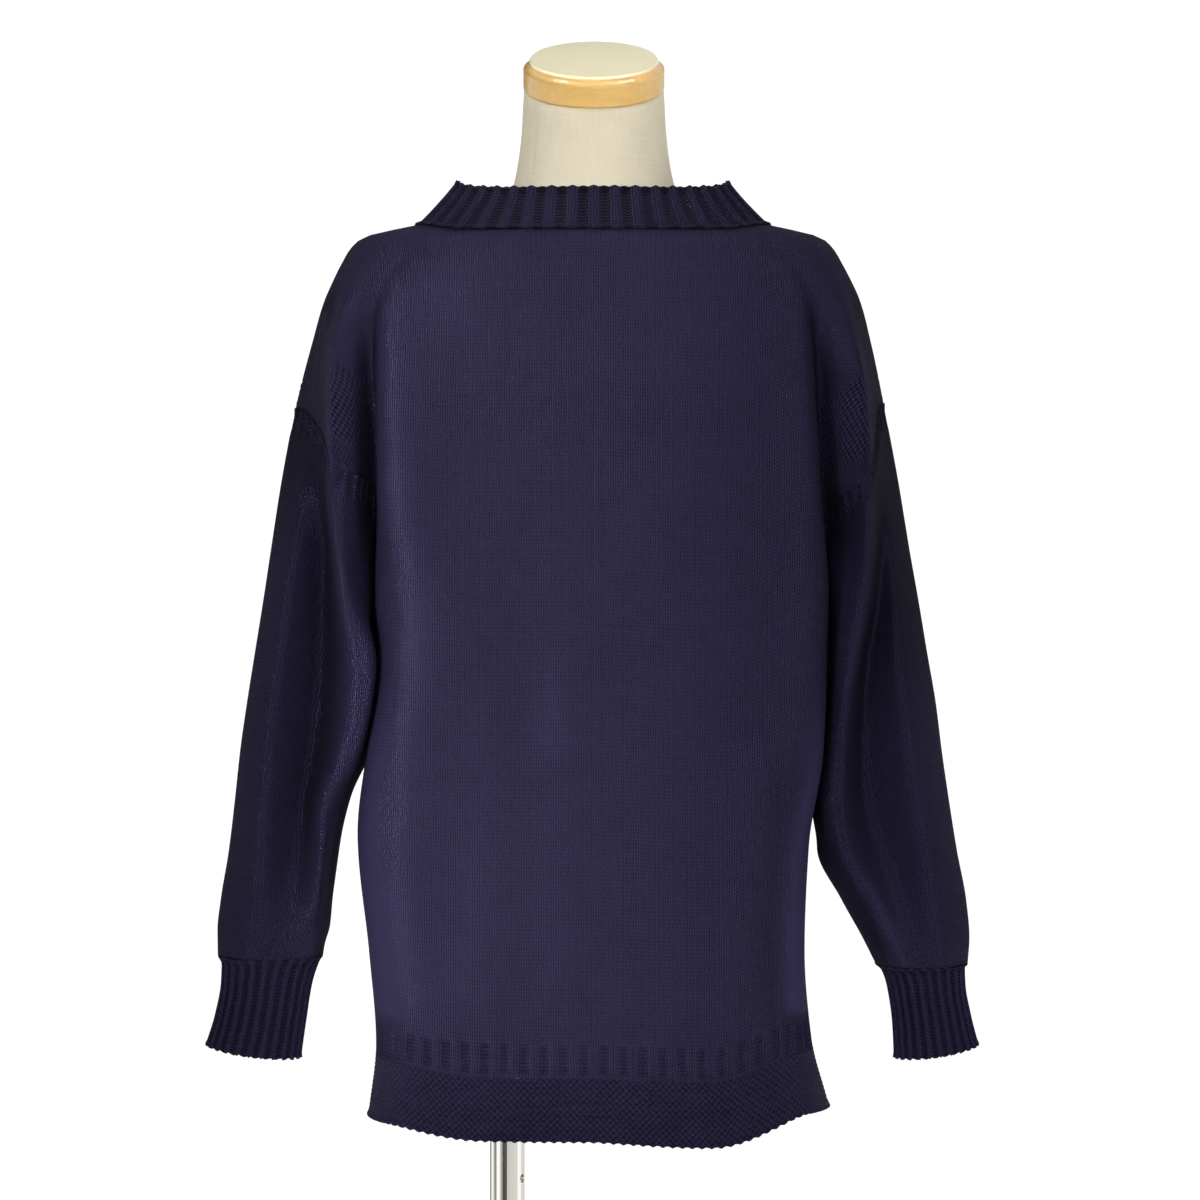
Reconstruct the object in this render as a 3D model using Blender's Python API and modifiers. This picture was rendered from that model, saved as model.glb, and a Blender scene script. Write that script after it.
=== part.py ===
"""Guernsey fisherman sweater on a limbless dress form.

Metres, +Z up.  The origin is the centre of the base plate's underside, the
front of the sweater faces -Y, and the wearer's right sleeve hangs at -X.
Cloth tables give the outer face of the knit; heights in them are levels
measured from the middle of the sweater, which hangs GARMENT_LIFT above the
floor.
"""

import math

import bmesh
import bpy
import numpy as np

# ---------------------------------------------------------------- dimensions
GARMENT_LIFT = 0.620        # height of the sweater's middle above the floor
KNIT_WALL = 0.0024          # thickness of the knitted cloth
WELT_WALL = 0.0028          # garter stitch is a little thicker
SEAM_GAP = 0.0002           # each piece stops this far short of its seam

HEM_LEVEL = -0.384          # lower edge of the welts
WELT_LEVEL = -0.339         # where the welts join the ribbed band
NECK_LEVEL = 0.266          # neckline at the centre front
NECK_RISE = 0.011           # how much higher it lies at the sides and back
HEM_FADE_LEVEL = -0.200     # above this the cloth hangs level again
# How far the hem is drawn up at the body's stations: centre, quarter, corner, side.
HEM_RISE = {"left": (0.0015, 0.002, 0.011, 0.0065),
            "right": (0.0015, -0.003, 0.018, 0.012)}
FOLD_CRISPNESS = 0.10       # how sharply the cloth turns at the armholes' folds
VENT_STATIONS = 0.06        # how far the welts stop short of the side seam, at the hem
COLLAR_FAN = 0.95           # how the ribs spread from the front round to the sides
COLLAR_LEVELLING = 1.5      # how late the rim rises towards the sides
COLLAR_BOW = 0.001          # hollow of the collar between neckline and rim
WELD_DISTANCE = 1e-5

# Rows of the faceted cloth, and stations across each half.
BODY_ROWS = (6, 5, 3)       # below, beside and above the gusset
SLEEVE_ROWS = (8, 5, 3)
SHOULDER_ROWS = 9
WELT_ROWS = 3
CUFF_ROWS = 5
COLLAR_ROWS = 4
BODY_COUNT = 8
ARM_COUNT = 10

FORM_LEVELS = 34
FORM_SIDES = 36
CAP_TILT = math.radians(25)
CAP_CENTRE = (0.0, -0.004, 0.378)
CAP_TOP_RADIUS = 0.0466
CAP_RADIUS = 0.0520
CAP_SIDE = 0.014
CAP_COVE = 0.008

POLE_RADIUS = 0.0127
POLE_X = -0.064
POLE_HOLE_RADIUS = 0.003
POLE_HOLE_LEVEL = -0.427
POLE_HOLE_TURN = math.radians(62)
BASE_RADIUS = 0.190
BASE_THICKNESS = 0.010

# Half sections of the body, from the centre front to the side.  "edge" is the
# front corner, "seam" the deepest line beside it: the armhole fold above the
# gusset, the gusset's edge beside it and the side seam below it.
BODY_COLUMNS = ("level", "centre_y", "edge_x", "edge_y", "seam_x", "seam_y")
BODY = {
    "left": (
        (-0.384, -0.119, 0.148, -0.090, 0.1660, 0.000),
        (-0.332, -0.118, 0.143, -0.090, 0.1605, 0.000),
        (-0.260, -0.120, 0.148, -0.092, 0.1655, 0.000),
        (-0.170, -0.121, 0.157, -0.092, 0.1740, 0.004),
        (-0.110, -0.121, 0.152, -0.096, 0.1670, 0.004),
        (-0.045, -0.121, 0.1425, -0.100, 0.1590, 0.000),
        (0.000, -0.120, 0.141, -0.103, 0.1590, -0.034),
        (0.040, -0.119, 0.143, -0.105, 0.1595, -0.032),
        (0.085, -0.117, 0.147, -0.106, 0.1600, -0.030),
        (0.144, -0.112, 0.148, -0.100, 0.1600, -0.038),
        (0.190, -0.104, 0.1465, -0.088, 0.1600, -0.056),
        (0.225, -0.097, 0.137, -0.079, 0.1560, -0.066),
        (0.245, -0.092, 0.118, -0.076, 0.1390, -0.064),
        (0.258, -0.087, 0.099, -0.074, 0.1190, -0.060),
        (0.266, -0.080, 0.083, -0.066, 0.1030, -0.053),
    ),
    "right": (
        (-0.384, -0.119, 0.154, -0.090, 0.1730, 0.000),
        (-0.332, -0.118, 0.145, -0.090, 0.1600, 0.000),
        (-0.260, -0.120, 0.140, -0.092, 0.1550, 0.000),
        (-0.180, -0.121, 0.144, -0.096, 0.1580, 0.006),
        (-0.110, -0.121, 0.157, -0.100, 0.1660, 0.006),
        (-0.040, -0.121, 0.160, -0.103, 0.1680, 0.000),
        (0.000, -0.120, 0.160, -0.105, 0.1695, -0.014),
        (0.035, -0.119, 0.158, -0.106, 0.1690, -0.023),
        (0.085, -0.117, 0.155, -0.106, 0.1675, -0.030),
        (0.144, -0.112, 0.151, -0.100, 0.1640, -0.039),
        (0.190, -0.104, 0.147, -0.088, 0.1600, -0.056),
        (0.225, -0.097, 0.137, -0.079, 0.1550, -0.066),
        (0.245, -0.092, 0.118, -0.076, 0.1380, -0.064),
        (0.258, -0.087, 0.099, -0.074, 0.1180, -0.060),
        (0.266, -0.080, 0.083, -0.066, 0.1020, -0.053),
    ),
}

# Half sections of the sleeve and the dropped shoulder above it, from the line
# nearest the body to the outermost line: inner lobe, its ridge, the trough
# outside it, the outer lobe, and the side.
ARM_COLUMNS = ("level", "inner_x", "inner_y", "lobe_x", "lobe_y", "ridge_x", "ridge_y",
               "dip_x", "dip_y", "outer_x", "outer_y", "side_x", "side_y")
ARM = {
    "left": (
        (-0.262, .2005, .000, .208, -.032, .222, -.044, .239, -.047, .258, -.040, .2782, .000),
        (-0.244, .1985, .002, .199, -.032, .210, -.050, .230, -.047, .254, -.050, .2782, -.002),
        (-0.222, .1970, .004, .1965, -.032, .202, -.056, .223, -.044, .248, -.058, .2757, -.004),
        (-0.185, .1945, .006, .192, -.038, .197, -.066, .2165, -.038, .243, -.064, .2694, -.006),
        (-0.148, .1860, .008, .184, -.048, .195, -.074, .2130, -.034, .240, -.066, .2649, -.006),
        (-0.110, .1765, .008, .1675, -.066, .182, -.080, .2060, -.030, .236, -.066, .2608, -.006),
        (-0.075, .1720, .004, .1590, -.078, .175, -.088, .2015, -.028, .233, -.063, .2560, -.004),
        (-0.045, .1690, .000, .1560, -.079, .1735, -.091, .1990, -.026, .2290, -.058, .2515, -.002),
        (0.000, .1610, -.036, .1665, -.078, .1800, -.092, .1980, -.026, .2240, -.050, .2445, .000),
        (0.040, .1605, -.032, .170, -.074, .1840, -.090, .1970, -.036, .2190, -.044, .2387, .002),
        (0.085, .1600, -.030, .1725, -.070, .1885, -.082, .1975, -.052, .2155, -.034, .2320, .004),
        (0.144, .1600, -.038, .174, -.067, .1885, -.077, .1965, -.052, .2095, -.022, .2208, .005),
        (0.190, .1600, -.056, .1730, -.066, .186, -.065, .1925, -.043, .2015, -.018, .2090, .005),
        (0.225, .1560, -.066, .168, -.062, .1785, -.052, .1860, -.034, .193, -.016, .1985, .005),
        (0.245, .1390, -.064, .152, -.058, .164, -.048, .174, -.034, .181, -.016, .1870, .005),
        (0.258, .1190, -.060, .132, -.054, .144, -.046, .156, -.033, .166, -.016, .1730, .004),
        (0.266, .1030, -.053, .111, -.045, .118, -.035, .124, -.024, .129, -.012, .1325, .003),
    ),
    "right": (
        (-0.268, .2080, .000, .213, -.030, .225, -.042, .240, -.046, .258, -.040, .2765, .000),
        (-0.250, .1990, .002, .204, -.032, .215, -.048, .234, -.047, .255, -.050, .2775, -.002),
        (-0.222, .1835, .006, .190, -.036, .203, -.056, .224, -.046, .248, -.058, .2750, -.004),
        (-0.185, .1660, .010, .171, -.042, .184, -.064, .212, -.040, .242, -.064, .2679, -.006),
        (-0.148, .1705, .020, .164, -.046, .179, -.064, .2010, -.036, .234, -.066, .2620, -.006),
        (-0.110, .1745, .024, .1680, -.054, .1800, -.072, .1980, -.034, .229, -.066, .2565, -.006),
        (-0.075, .1755, .014, .171, -.062, .1830, -.080, .1980, -.034, .225, -.064, .2523, -.004),
        (-0.040, .1755, .000, .174, -.066, .1870, -.086, .2005, -.034, .2215, -.056, .2465, -.002),
        (0.000, .1720, -.016, .1775, -.060, .1930, -.084, .2060, -.042, .2205, -.050, .2400, .000),
        (0.035, .1700, -.024, .181, -.054, .1960, -.084, .2075, -.050, .2185, -.044, .2340, .002),
        (0.060, .1685, -.026, .181, -.056, .1965, -.085, .2070, -.054, .2165, -.038, .2300, .003),
        (0.085, .1675, -.030, .181, -.070, .1970, -.086, .2065, -.056, .2145, -.032, .2260, .004),
        (0.144, .1640, -.039, .179, -.067, .1950, -.079, .2015, -.052, .2085, -.022, .2150, .005),
        (0.190, .1600, -.056, .1725, -.066, .1870, -.065, .193, -.043, .2000, -.018, .2055, .005),
        (0.225, .1550, -.066, .1675, -.062, .179, -.052, .1860, -.034, .192, -.016, .1960, .005),
        (0.245, .1380, -.064, .151, -.058, .163, -.048, .172, -.034, .179, -.016, .1840, .005),
        (0.258, .1180, -.060, .131, -.054, .143, -.046, .154, -.033, .163, -.016, .1700, .004),
        (0.266, .1020, -.053, .110, -.045, .117, -.035, .123, -.024, .128, -.012, .1310, .003),
    ),
}

# Levels of the armhole seam at the arm's stations (seam, lobe, ridge, trough,
# outer lobe, side), and the ends of each gusset.
ARMHOLE = {"left": (0.085, 0.091, 0.101, 0.120, 0.137, 0.143),
           "right": (0.070, 0.076, 0.090, 0.118, 0.140, 0.147)}
GUSSET_INSET = 0.0040       # a gusset lies in its own hollow, clear of the four seams
GUSSET = {"left": (-0.045, 0.000), "right": (-0.040, 0.035)}

# The back hangs a little flatter than the front.
BACK_SCALE = 0.96
BACK_FLATTEN = 0.005

# Cuffs: each row is one ring, from the sleeve down to the bound-off edge.
CUFF_COLUMNS = ("drop", "inner_x", "outer_x", "depth", "shift_y", "slope")
CUFF = {
    "left": ((0.000, 0.2005, 0.2782, 0.0460, 0.000, 0.000),
             (0.006, 0.2035, 0.2755, 0.0420, 0.000, 0.000),
             (0.022, 0.2085, 0.2760, 0.0380, 0.000, 0.002),
             (0.048, 0.2125, 0.2800, 0.0360, -0.002, 0.005),
             (0.075, 0.2162, 0.2865, 0.0380, -0.004, 0.010)),
    "right": ((0.000, 0.2080, 0.2765, 0.0450, 0.000, 0.000),
              (0.006, 0.2130, 0.2745, 0.0410, 0.000, 0.003),
              (0.020, 0.2172, 0.2750, 0.0380, 0.000, 0.004),
              (0.045, 0.2205, 0.2790, 0.0360, -0.002, 0.006),
              (0.069, 0.2215, 0.2840, 0.0375, -0.004, 0.010)),
}
CUFF_TURN = (0, 37, 64, 90, 119, 180)   # degrees round the cuff at the arm's stations

# Rim of the collar: half widths, depths and heights.
COLLAR = {"left_x": 0.1015, "right_x": 0.1000, "front_y": -0.066, "back_y": 0.060,
          "front_level": 0.2985, "side_level": 0.3105, "back_level": 0.3070}

# Dress form: level, half width, half depth, centre depth, squareness.
FORM_COLUMNS = ("level", "half_x", "half_y", "centre_y", "power")
FORM = (
    (-0.330, 0.132, 0.092, 0.000, 2.2),
    (-0.322, 0.141, 0.101, 0.000, 2.2),
    (-0.290, 0.147, 0.105, 0.000, 2.2),
    (-0.220, 0.145, 0.104, 0.000, 2.2),
    (-0.100, 0.120, 0.088, 0.000, 2.2),
    (0.000, 0.130, 0.096, -0.004, 2.2),
    (0.080, 0.140, 0.101, -0.006, 2.2),
    (0.140, 0.146, 0.094, -0.004, 2.2),
    (0.190, 0.154, 0.078, -0.001, 2.1),
    (0.220, 0.160, 0.063, 0.001, 2.0),
    (0.240, 0.161, 0.052, 0.003, 2.0),
    (0.252, 0.150, 0.046, 0.004, 2.0),
    (0.261, 0.131, 0.044, 0.004, 2.0),
    (0.269, 0.108, 0.046, 0.003, 2.0),
    (0.278, 0.085, 0.049, 0.002, 2.0),
    (0.290, 0.067, 0.052, 0.000, 2.0),
    (0.310, 0.0585, 0.0535, -0.001, 2.0),
    (0.345, 0.0535, 0.0525, -0.003, 2.0),
    (0.378, 0.0520, 0.0520, -0.004, 2.0),
)

COLOURS = {
    "wool": ((0.018, 0.014, 0.052), 0.95, 0.0),
    "linen": ((0.60, 0.55, 0.44), 0.90, 0.0),
    "beech": ((0.66, 0.40, 0.15), 0.35, 0.0),
    "chrome": ((0.78, 0.77, 0.74), 0.12, 1.0),
    "steel": ((0.62, 0.61, 0.58), 0.35, 1.0),
}


# ------------------------------------------------------------------ tables
def smooth(knots, values, at):
    """Cubic through the rows of a table, with no overshoot between them."""
    knots = np.asarray(knots, float)
    values = np.asarray(values, float)
    step = np.diff(knots)
    rate = np.diff(values) / step
    slope = np.zeros(len(knots))
    for i in range(1, len(knots) - 1):
        if rate[i - 1] * rate[i] > 0:
            before, after = 2 * step[i] + step[i - 1], step[i] + 2 * step[i - 1]
            slope[i] = (before + after) / (before / rate[i - 1] + after / rate[i])
    slope[0], slope[-1] = rate[0], rate[-1]
    at = np.clip(at, knots[0], knots[-1])
    i = np.clip(np.searchsorted(knots, at) - 1, 0, len(step) - 1)
    return hermite(values[i], values[i + 1], slope[i] * step[i], slope[i + 1] * step[i],
                   (at - knots[i]) / step[i])


def hermite(start, end, start_slope, end_slope, f):
    return ((2 * f**3 - 3 * f**2 + 1) * start + (f**3 - 2 * f**2 + f) * start_slope
            + (3 * f**2 - 2 * f**3) * end + (f**3 - f**2) * end_slope)


def column(table, columns, name, at):
    names = list(columns)
    rows = np.array(table)
    return smooth(rows[:, 0], rows[:, names.index(name)], at)


def ease(value, low, high):
    f = np.clip((value - low) / (high - low), 0.0, 1.0)
    return f * f * (3 - 2 * f)


# ------------------------------------------------------------ cloth surface
SEAM_STATION = 3            # stations 0 to 3 are the body, 3 to 8 the arm
SIDE_STATION = 8
NARROW_STEP = 0.06
STATION_GAP = 0.004         # about SEAM_GAP along a section
STATION_LENGTH = 0.010      # usual distance from one arm station to the next


def turn_back(x, y, face):
    """A front control point, or the back one that answers it."""
    if face == "front":
        return x, y
    return x * 0.995, -y * BACK_SCALE - BACK_FLATTEN * ease(-y, 0.09, 0.125)


def turn_fold(x, y, face):
    """The same at the seam line, which front and back share where it is closed."""
    if face == "front":
        return x, y
    return x, np.where(y < 0, -y * BACK_SCALE, y)


def body_stations(side, face, level):
    """Control points of the body's half section at each level."""
    def get(name):
        return column(BODY[side], BODY_COLUMNS, name, level)
    centre = (0 * level, get("centre_y"))
    edge = (get("edge_x"), get("edge_y"))
    quarter = (0.56 * edge[0], 0.80 * centre[1] + 0.20 * edge[1] - 0.002)
    seam = (get("seam_x"), get("seam_y"))
    return [turn_back(x, y, face) for x, y in (centre, quarter, edge)] + [turn_fold(*seam, face)]


def arm_stations(side, face, level):
    """Control points of the arm's half section at each level."""
    names = ("inner", "lobe", "ridge", "dip", "outer", "side")
    pairs = [(column(ARM[side], ARM_COLUMNS, name + "_x", level),
              column(ARM[side], ARM_COLUMNS, name + "_y", level)) for name in names]
    turned = [turn_back(x, y, face) for x, y in pairs[1:-1]]
    return [turn_fold(*pairs[0], face)] + turned + [pairs[-1]]


def cloth_points(side, face, station, level):
    """Outer face of the knit at arrays of stations and levels, as x, y, z."""
    station, level = np.broadcast_arrays(np.asarray(station, float), np.asarray(level, float))
    other = "back" if face == "front" else "front"
    body = body_stations(side, face, level)
    arm = arm_stations(side, face, level)
    body_other = body_stations(side, other, level)
    arm_other = arm_stations(side, other, level)
    joined = ease(level, 0.010, 0.070)      # above this the fold is one cloth
    crisp = 1 - FOLD_CRISPNESS * ease(level, -0.100, -0.020) * (1 - ease(level, 0.225, 0.262))
    points = []
    for axis in (0, 1):
        mirrored = -1.0 if axis == 0 else 1.0
        b = [p[axis] for p in body]
        a = [p[axis] for p in arm]
        slopes_b = [(b[1] - mirrored * b[1]) / 2, (b[2] - b[0]) / 2, (b[3] - b[1]) / 2,
                    joined * (a[1] - b[2]) / 2 + (1 - joined) * (body_other[2][axis] - b[2]) / 2]
        slopes_a = [joined * (a[1] - b[2]) / 2 + (1 - joined) * (a[1] - arm_other[1][axis]) / 2]
        slopes_a += [(a[i + 1] - a[i - 1]) / 2 for i in range(1, 5)]
        slopes_a.append((arm_other[4][axis] - a[4]) / 2)
        slopes_b[2] = slopes_b[2] * crisp
        slopes_a[2] = slopes_a[2] * crisp
        value = np.zeros(station.shape)
        for i in range(3):
            here = (station >= i) & (station < i + 1)
            piece = hermite(b[i], b[i + 1], slopes_b[i], slopes_b[i + 1], station - i)
            value = np.where(here, piece, value)
        for i in range(5):
            here = (station >= i + 3) & (station <= i + 4)
            piece = hermite(a[i], a[i + 1], slopes_a[i], slopes_a[i + 1], station - i - 3)
            value = np.where(here, piece, value)
        points.append(value)
    x, y = points
    rise = NECK_RISE * ease(level, 0.228, 0.268)
    if face == "front":
        rise = rise * ease(station, 0.0, SIDE_STATION)
    pulled = smooth(np.arange(SEAM_STATION + 1.0), HEM_RISE[side], station)
    pulled = pulled * (1 - ease(level, HEM_LEVEL, HEM_FADE_LEVEL))
    sign = -1.0 if side == "left" else 1.0
    return np.stack([sign * x, y, level + rise + pulled * (station < SEAM_STATION) + GARMENT_LIFT],
                    axis=-1)


def seam_level(side, station):
    """Level of the armhole seam at an arm station."""
    return smooth(np.arange(SEAM_STATION, SIDE_STATION + 1.0), ARMHOLE[side],
                  np.maximum(station, SEAM_STATION))


def armhole_gap(side, station):
    """Half the gap at the armhole seam, measured upwards: more where it runs steeply."""
    steepness = np.gradient(seam_level(side, station), station) / STATION_LENGTH
    return SEAM_GAP * (2.2 + 2.0 * np.abs(steepness))


def cloth_wall(side, face, station, level, wall=KNIT_WALL):
    """Outer and inner faces of the knit, the inner one straight behind the outer."""
    station, level = np.broadcast_arrays(np.asarray(station, float), np.asarray(level, float))
    outer = cloth_points(side, face, station, level)
    on_body = station < SEAM_STATION
    low = np.where(on_body, 0.0, SEAM_STATION)
    high = np.where(on_body, SEAM_STATION - 1e-6, SIDE_STATION)
    reach = 0.02
    along = (cloth_points(side, face, np.minimum(station + reach, high), level)
             - cloth_points(side, face, np.maximum(station - reach, low), level))
    up = outer - cloth_points(side, face, station, level - 0.002)
    normal = np.cross(along, up)
    normal /= np.linalg.norm(normal, axis=-1, keepdims=True)
    outwards = 1.0 if (side == "right") == (face == "front") else -1.0
    return outer, outer - outwards * wall * normal


# -------------------------------------------------------------------- meshes
def material(name):
    found = bpy.data.materials.get(name)
    if found:
        return found
    colour, roughness, metallic = COLOURS[name]
    found = bpy.data.materials.new(name)
    found.use_nodes = True
    shader = found.node_tree.nodes["Principled BSDF"]
    shader.inputs["Base Color"].default_value = (*colour, 1.0)
    shader.inputs["Roughness"].default_value = roughness
    shader.inputs["Metallic"].default_value = metallic
    found.diffuse_color = (*colour, 1.0)
    return found


def add_object(name, mesh, finish, collection):
    mesh.materials.append(material(finish))
    thing = bpy.data.objects.new(name, mesh)
    collection.objects.link(thing)
    mesh.shade_smooth()
    mesh.set_sharp_from_angle(angle=math.radians(40))
    return thing


def loft_wall(name, patches, finish, collection):
    """A closed wall lofted between the outer and inner points of each patch.

    Neighbouring pieces share their seam points and the directions of their
    walls there, so their edges meet square, a seam gap apart.
    """
    outer, inner, placed, faces = [], [], {}, []

    def place(point, behind):
        key = tuple(np.round(point / WELD_DISTANCE).astype(int))
        if key not in placed:
            placed[key] = len(outer)
            outer.append(point)
            inner.append(behind)
        return placed[key]

    for front, back in patches:
        rows, columns = front.shape[:2]
        index = [[place(front[i, j], back[i, j]) for j in range(columns)] for i in range(rows)]
        for i in range(rows - 1):
            for j in range(columns - 1):
                loop = (index[i][j], index[i][j + 1], index[i + 1][j + 1], index[i + 1][j])
                loop = list(dict.fromkeys(loop))
                if len(loop) > 2:
                    faces.append(loop)
    edges = {(loop[k - 1], loop[k]) for loop in faces for k in range(len(loop))}
    behind = len(outer)
    inner_faces = [[behind + corner for corner in reversed(loop)] for loop in faces]
    rims = [(b, a, behind + a, behind + b) for a, b in edges if (b, a) not in edges]
    mesh = bpy.data.meshes.new(name)
    mesh.from_pydata(outer + inner, [], faces + inner_faces + sorted(rims))
    bm = bmesh.new()
    bm.from_mesh(mesh)
    bmesh.ops.recalc_face_normals(bm, faces=bm.faces)
    bm.to_mesh(mesh)
    bm.free()
    return add_object(name, mesh, finish, collection)


def spread(start, end, count, narrow_start=False):
    """Stations with a narrow step at each seam, so that walls meet squarely there."""
    first = start + NARROW_STEP if narrow_start else start
    middle = np.linspace(first, end - NARROW_STEP, count)
    ends = [start] if narrow_start else []
    return np.concatenate([ends, middle, [end]])


BODY_SPREAD = spread(0.0, SEAM_STATION, BODY_COUNT)
ARM_SPREAD = spread(SEAM_STATION, SIDE_STATION, ARM_COUNT, narrow_start=True)


def trim(station, face_end):
    """Stations pulled back from a seam by the seam gap."""
    return np.minimum(station, face_end - STATION_GAP)


def row_rise(side, bottom, top, counts):
    """Shares of the height at which rows lie, some of them at the gusset's ends."""
    marks = (bottom, *GUSSET[side], top)
    runs = [np.linspace(low, high, count) for low, high, count in zip(marks, marks[1:], counts)]
    levels = np.unique(np.concatenate(runs))
    return ((levels - bottom) / (top - bottom))[:, None]


def across(left_wall, right_wall):
    """Left half, read from the side inwards, then the right half outwards."""
    return [np.concatenate([left[:, ::-1], right[:, 1:]], axis=1)
            for left, right in zip(left_wall, right_wall)]


# -------------------------------------------------------------------- pieces
def add_panel(face, collection):
    """Front or back: the body's half tube and, above it, the dropped shoulders."""
    lower, upper = [], []
    for side in ("left", "right"):
        start = ARMHOLE[side][0] + 2 * SEAM_GAP
        bottom = WELT_LEVEL + SEAM_GAP
        levels = bottom + row_rise(side, bottom, start, BODY_ROWS) * (start - bottom)
        lower.append(cloth_wall(side, face, trim(BODY_SPREAD, SEAM_STATION)[None, :], levels))
        stations = np.concatenate([BODY_SPREAD, ARM_SPREAD[1:]])
        seam = seam_level(side, stations) + armhole_gap(side, stations)
        bottom = np.where(stations <= SEAM_STATION, start, seam)
        rise = np.linspace(0.0, 1.0, SHOULDER_ROWS)[:, None] ** 0.9
        levels = bottom + rise * (NECK_LEVEL - bottom)
        wall = cloth_wall(side, face, trim(stations, SIDE_STATION)[None, :], levels)
        for new, old in zip(wall, lower[-1]):
            new[0, : len(BODY_SPREAD)] = old[-1]
        upper.append(wall)
    return loft_wall(f"{face}_panel", [across(*lower), across(*upper)], "wool", collection)


def add_welt(face, collection):
    """Garter-stitch welt below the ribbed band, open at each side."""
    halves = []
    for side in ("left", "right"):
        rise = np.linspace(0.0, 1.0, WELT_ROWS)[:, None]
        levels = HEM_LEVEL + rise * (WELT_LEVEL - SEAM_GAP - HEM_LEVEL)
        vent = STATION_GAP + VENT_STATIONS * (1 - rise)
        stations = np.minimum(BODY_SPREAD[None, :], SEAM_STATION - vent)
        halves.append(cloth_wall(side, face, stations, levels, WELT_WALL))
    return loft_wall(f"{face}_welt", [across(*halves)], "wool", collection)


def add_sleeve(side, collection):
    """Sleeve: a tube from the armhole seam down to the cuff."""
    bottom = ARM[side][0][0] + SEAM_GAP
    top = seam_level(side, ARM_SPREAD) - armhole_gap(side, ARM_SPREAD)
    levels = bottom + row_rise(side, bottom, top[0], SLEEVE_ROWS) * (top - bottom)
    closed = levels[:, 0] < GUSSET[side][0] - SEAM_GAP
    pulled = np.maximum(ARM_SPREAD, SEAM_STATION + 4 * STATION_GAP)
    front = cloth_wall(side, "front", pulled, levels)
    back = cloth_wall(side, "back", pulled, levels)
    tube = []
    for near, far in zip(front, back):
        middle = (near[:, 0] + far[:, 0]) / 2
        near[closed, 0] = middle[closed]
        far[closed, 0] = middle[closed]
        far[:, -1] = near[:, -1]
        tube.append(np.concatenate([near, far[:, ::-1][:, 1:]], axis=1))
    return loft_wall(f"{side}_sleeve", [tube], "wool", collection)


def ring_wall(points, wall):
    """Outer points of a piece made of closed rings, and the inner points behind them."""
    ring = np.concatenate([points[:, -2:-1], points, points[:, 1:2]], axis=1)
    along = ring[:, 2:] - ring[:, :-2]
    up = np.gradient(points, axis=0)
    normal = np.cross(along, up)
    normal /= np.linalg.norm(normal, axis=-1, keepdims=True)
    return points, points - wall * normal


def add_cuff(side, collection):
    """Ribbed cuff: rings that carry on from the sleeve's last section."""
    sign = -1.0 if side == "left" else 1.0
    bottom = ARM[side][0][0]
    drops = np.linspace(0.0, CUFF[side][-1][0], CUFF_ROWS)
    turn = np.radians(smooth(np.arange(3.0, 9.0), CUFF_TURN, ARM_SPREAD))
    turn = np.concatenate([turn, 2 * np.pi - turn[::-1][1:]])
    rings = []
    for drop in drops:
        inner_x, outer_x, depth, shift, slope = [column(CUFF[side], CUFF_COLUMNS, name, drop)
                                                 for name in CUFF_COLUMNS[1:]]
        across_x = (inner_x + outer_x) / 2 - (outer_x - inner_x) / 2 * np.cos(turn)
        lift = slope * (across_x - inner_x) / (outer_x - inner_x)
        rings.append(np.stack([sign * across_x, shift - depth * np.sin(turn),
                               GARMENT_LIFT + bottom - SEAM_GAP - drop + lift], axis=-1))
    front = cloth_points(side, "front", ARM_SPREAD, bottom - 0 * ARM_SPREAD)
    back = cloth_points(side, "back", ARM_SPREAD, bottom - 0 * ARM_SPREAD)
    rings[0] = np.concatenate([front, back[::-1][1:]])
    rings[0][:, 2] -= SEAM_GAP
    rings = np.array(rings)
    rings[:, -1] = rings[:, 0]
    wall = ring_wall(rings[:, ::-1] if side == "left" else rings, KNIT_WALL)
    return loft_wall(f"{side}_cuff", [wall], "wool", collection)


def add_gusset(side, collection):
    """Diamond gusset, folded over the underarm between body and sleeve."""
    low, high = GUSSET[side]
    level = low + np.linspace(0.30, 1.0, 5) * (high - low)
    spans = np.linspace(-1, 1, 7)
    wall = []
    for layer in (0, 1):
        rows = []
        for station in (SEAM_STATION - 1e-6, SEAM_STATION):
            near, far = [cloth_wall(side, face, station, level)[layer]
                         for face in ("front", "back")]
            middle, half = ((near + far) / 2)[:, None], ((far - near) / 2)[:, None]
            length = np.linalg.norm(half, axis=-1, keepdims=True)
            pulled = half * (1 - GUSSET_INSET / length)
            grid = middle + spans[None, :, None] * pulled
            rows.append(grid if station < SEAM_STATION else grid[::-1])
        points = np.concatenate(rows)
        points[:, :, 2] -= GUSSET_INSET / 4
        if layer == 1:
            arch = KNIT_WALL * (1 - np.abs(spans) ** 3)
            for row, share in ((3, 0.3), (4, 1.0), (5, 1.0), (6, 0.3)):
                points[row, :, 2] += share * arch
        wall.append(points)
    return loft_wall(f"{side}_gusset", [wall], "wool", collection)


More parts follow.
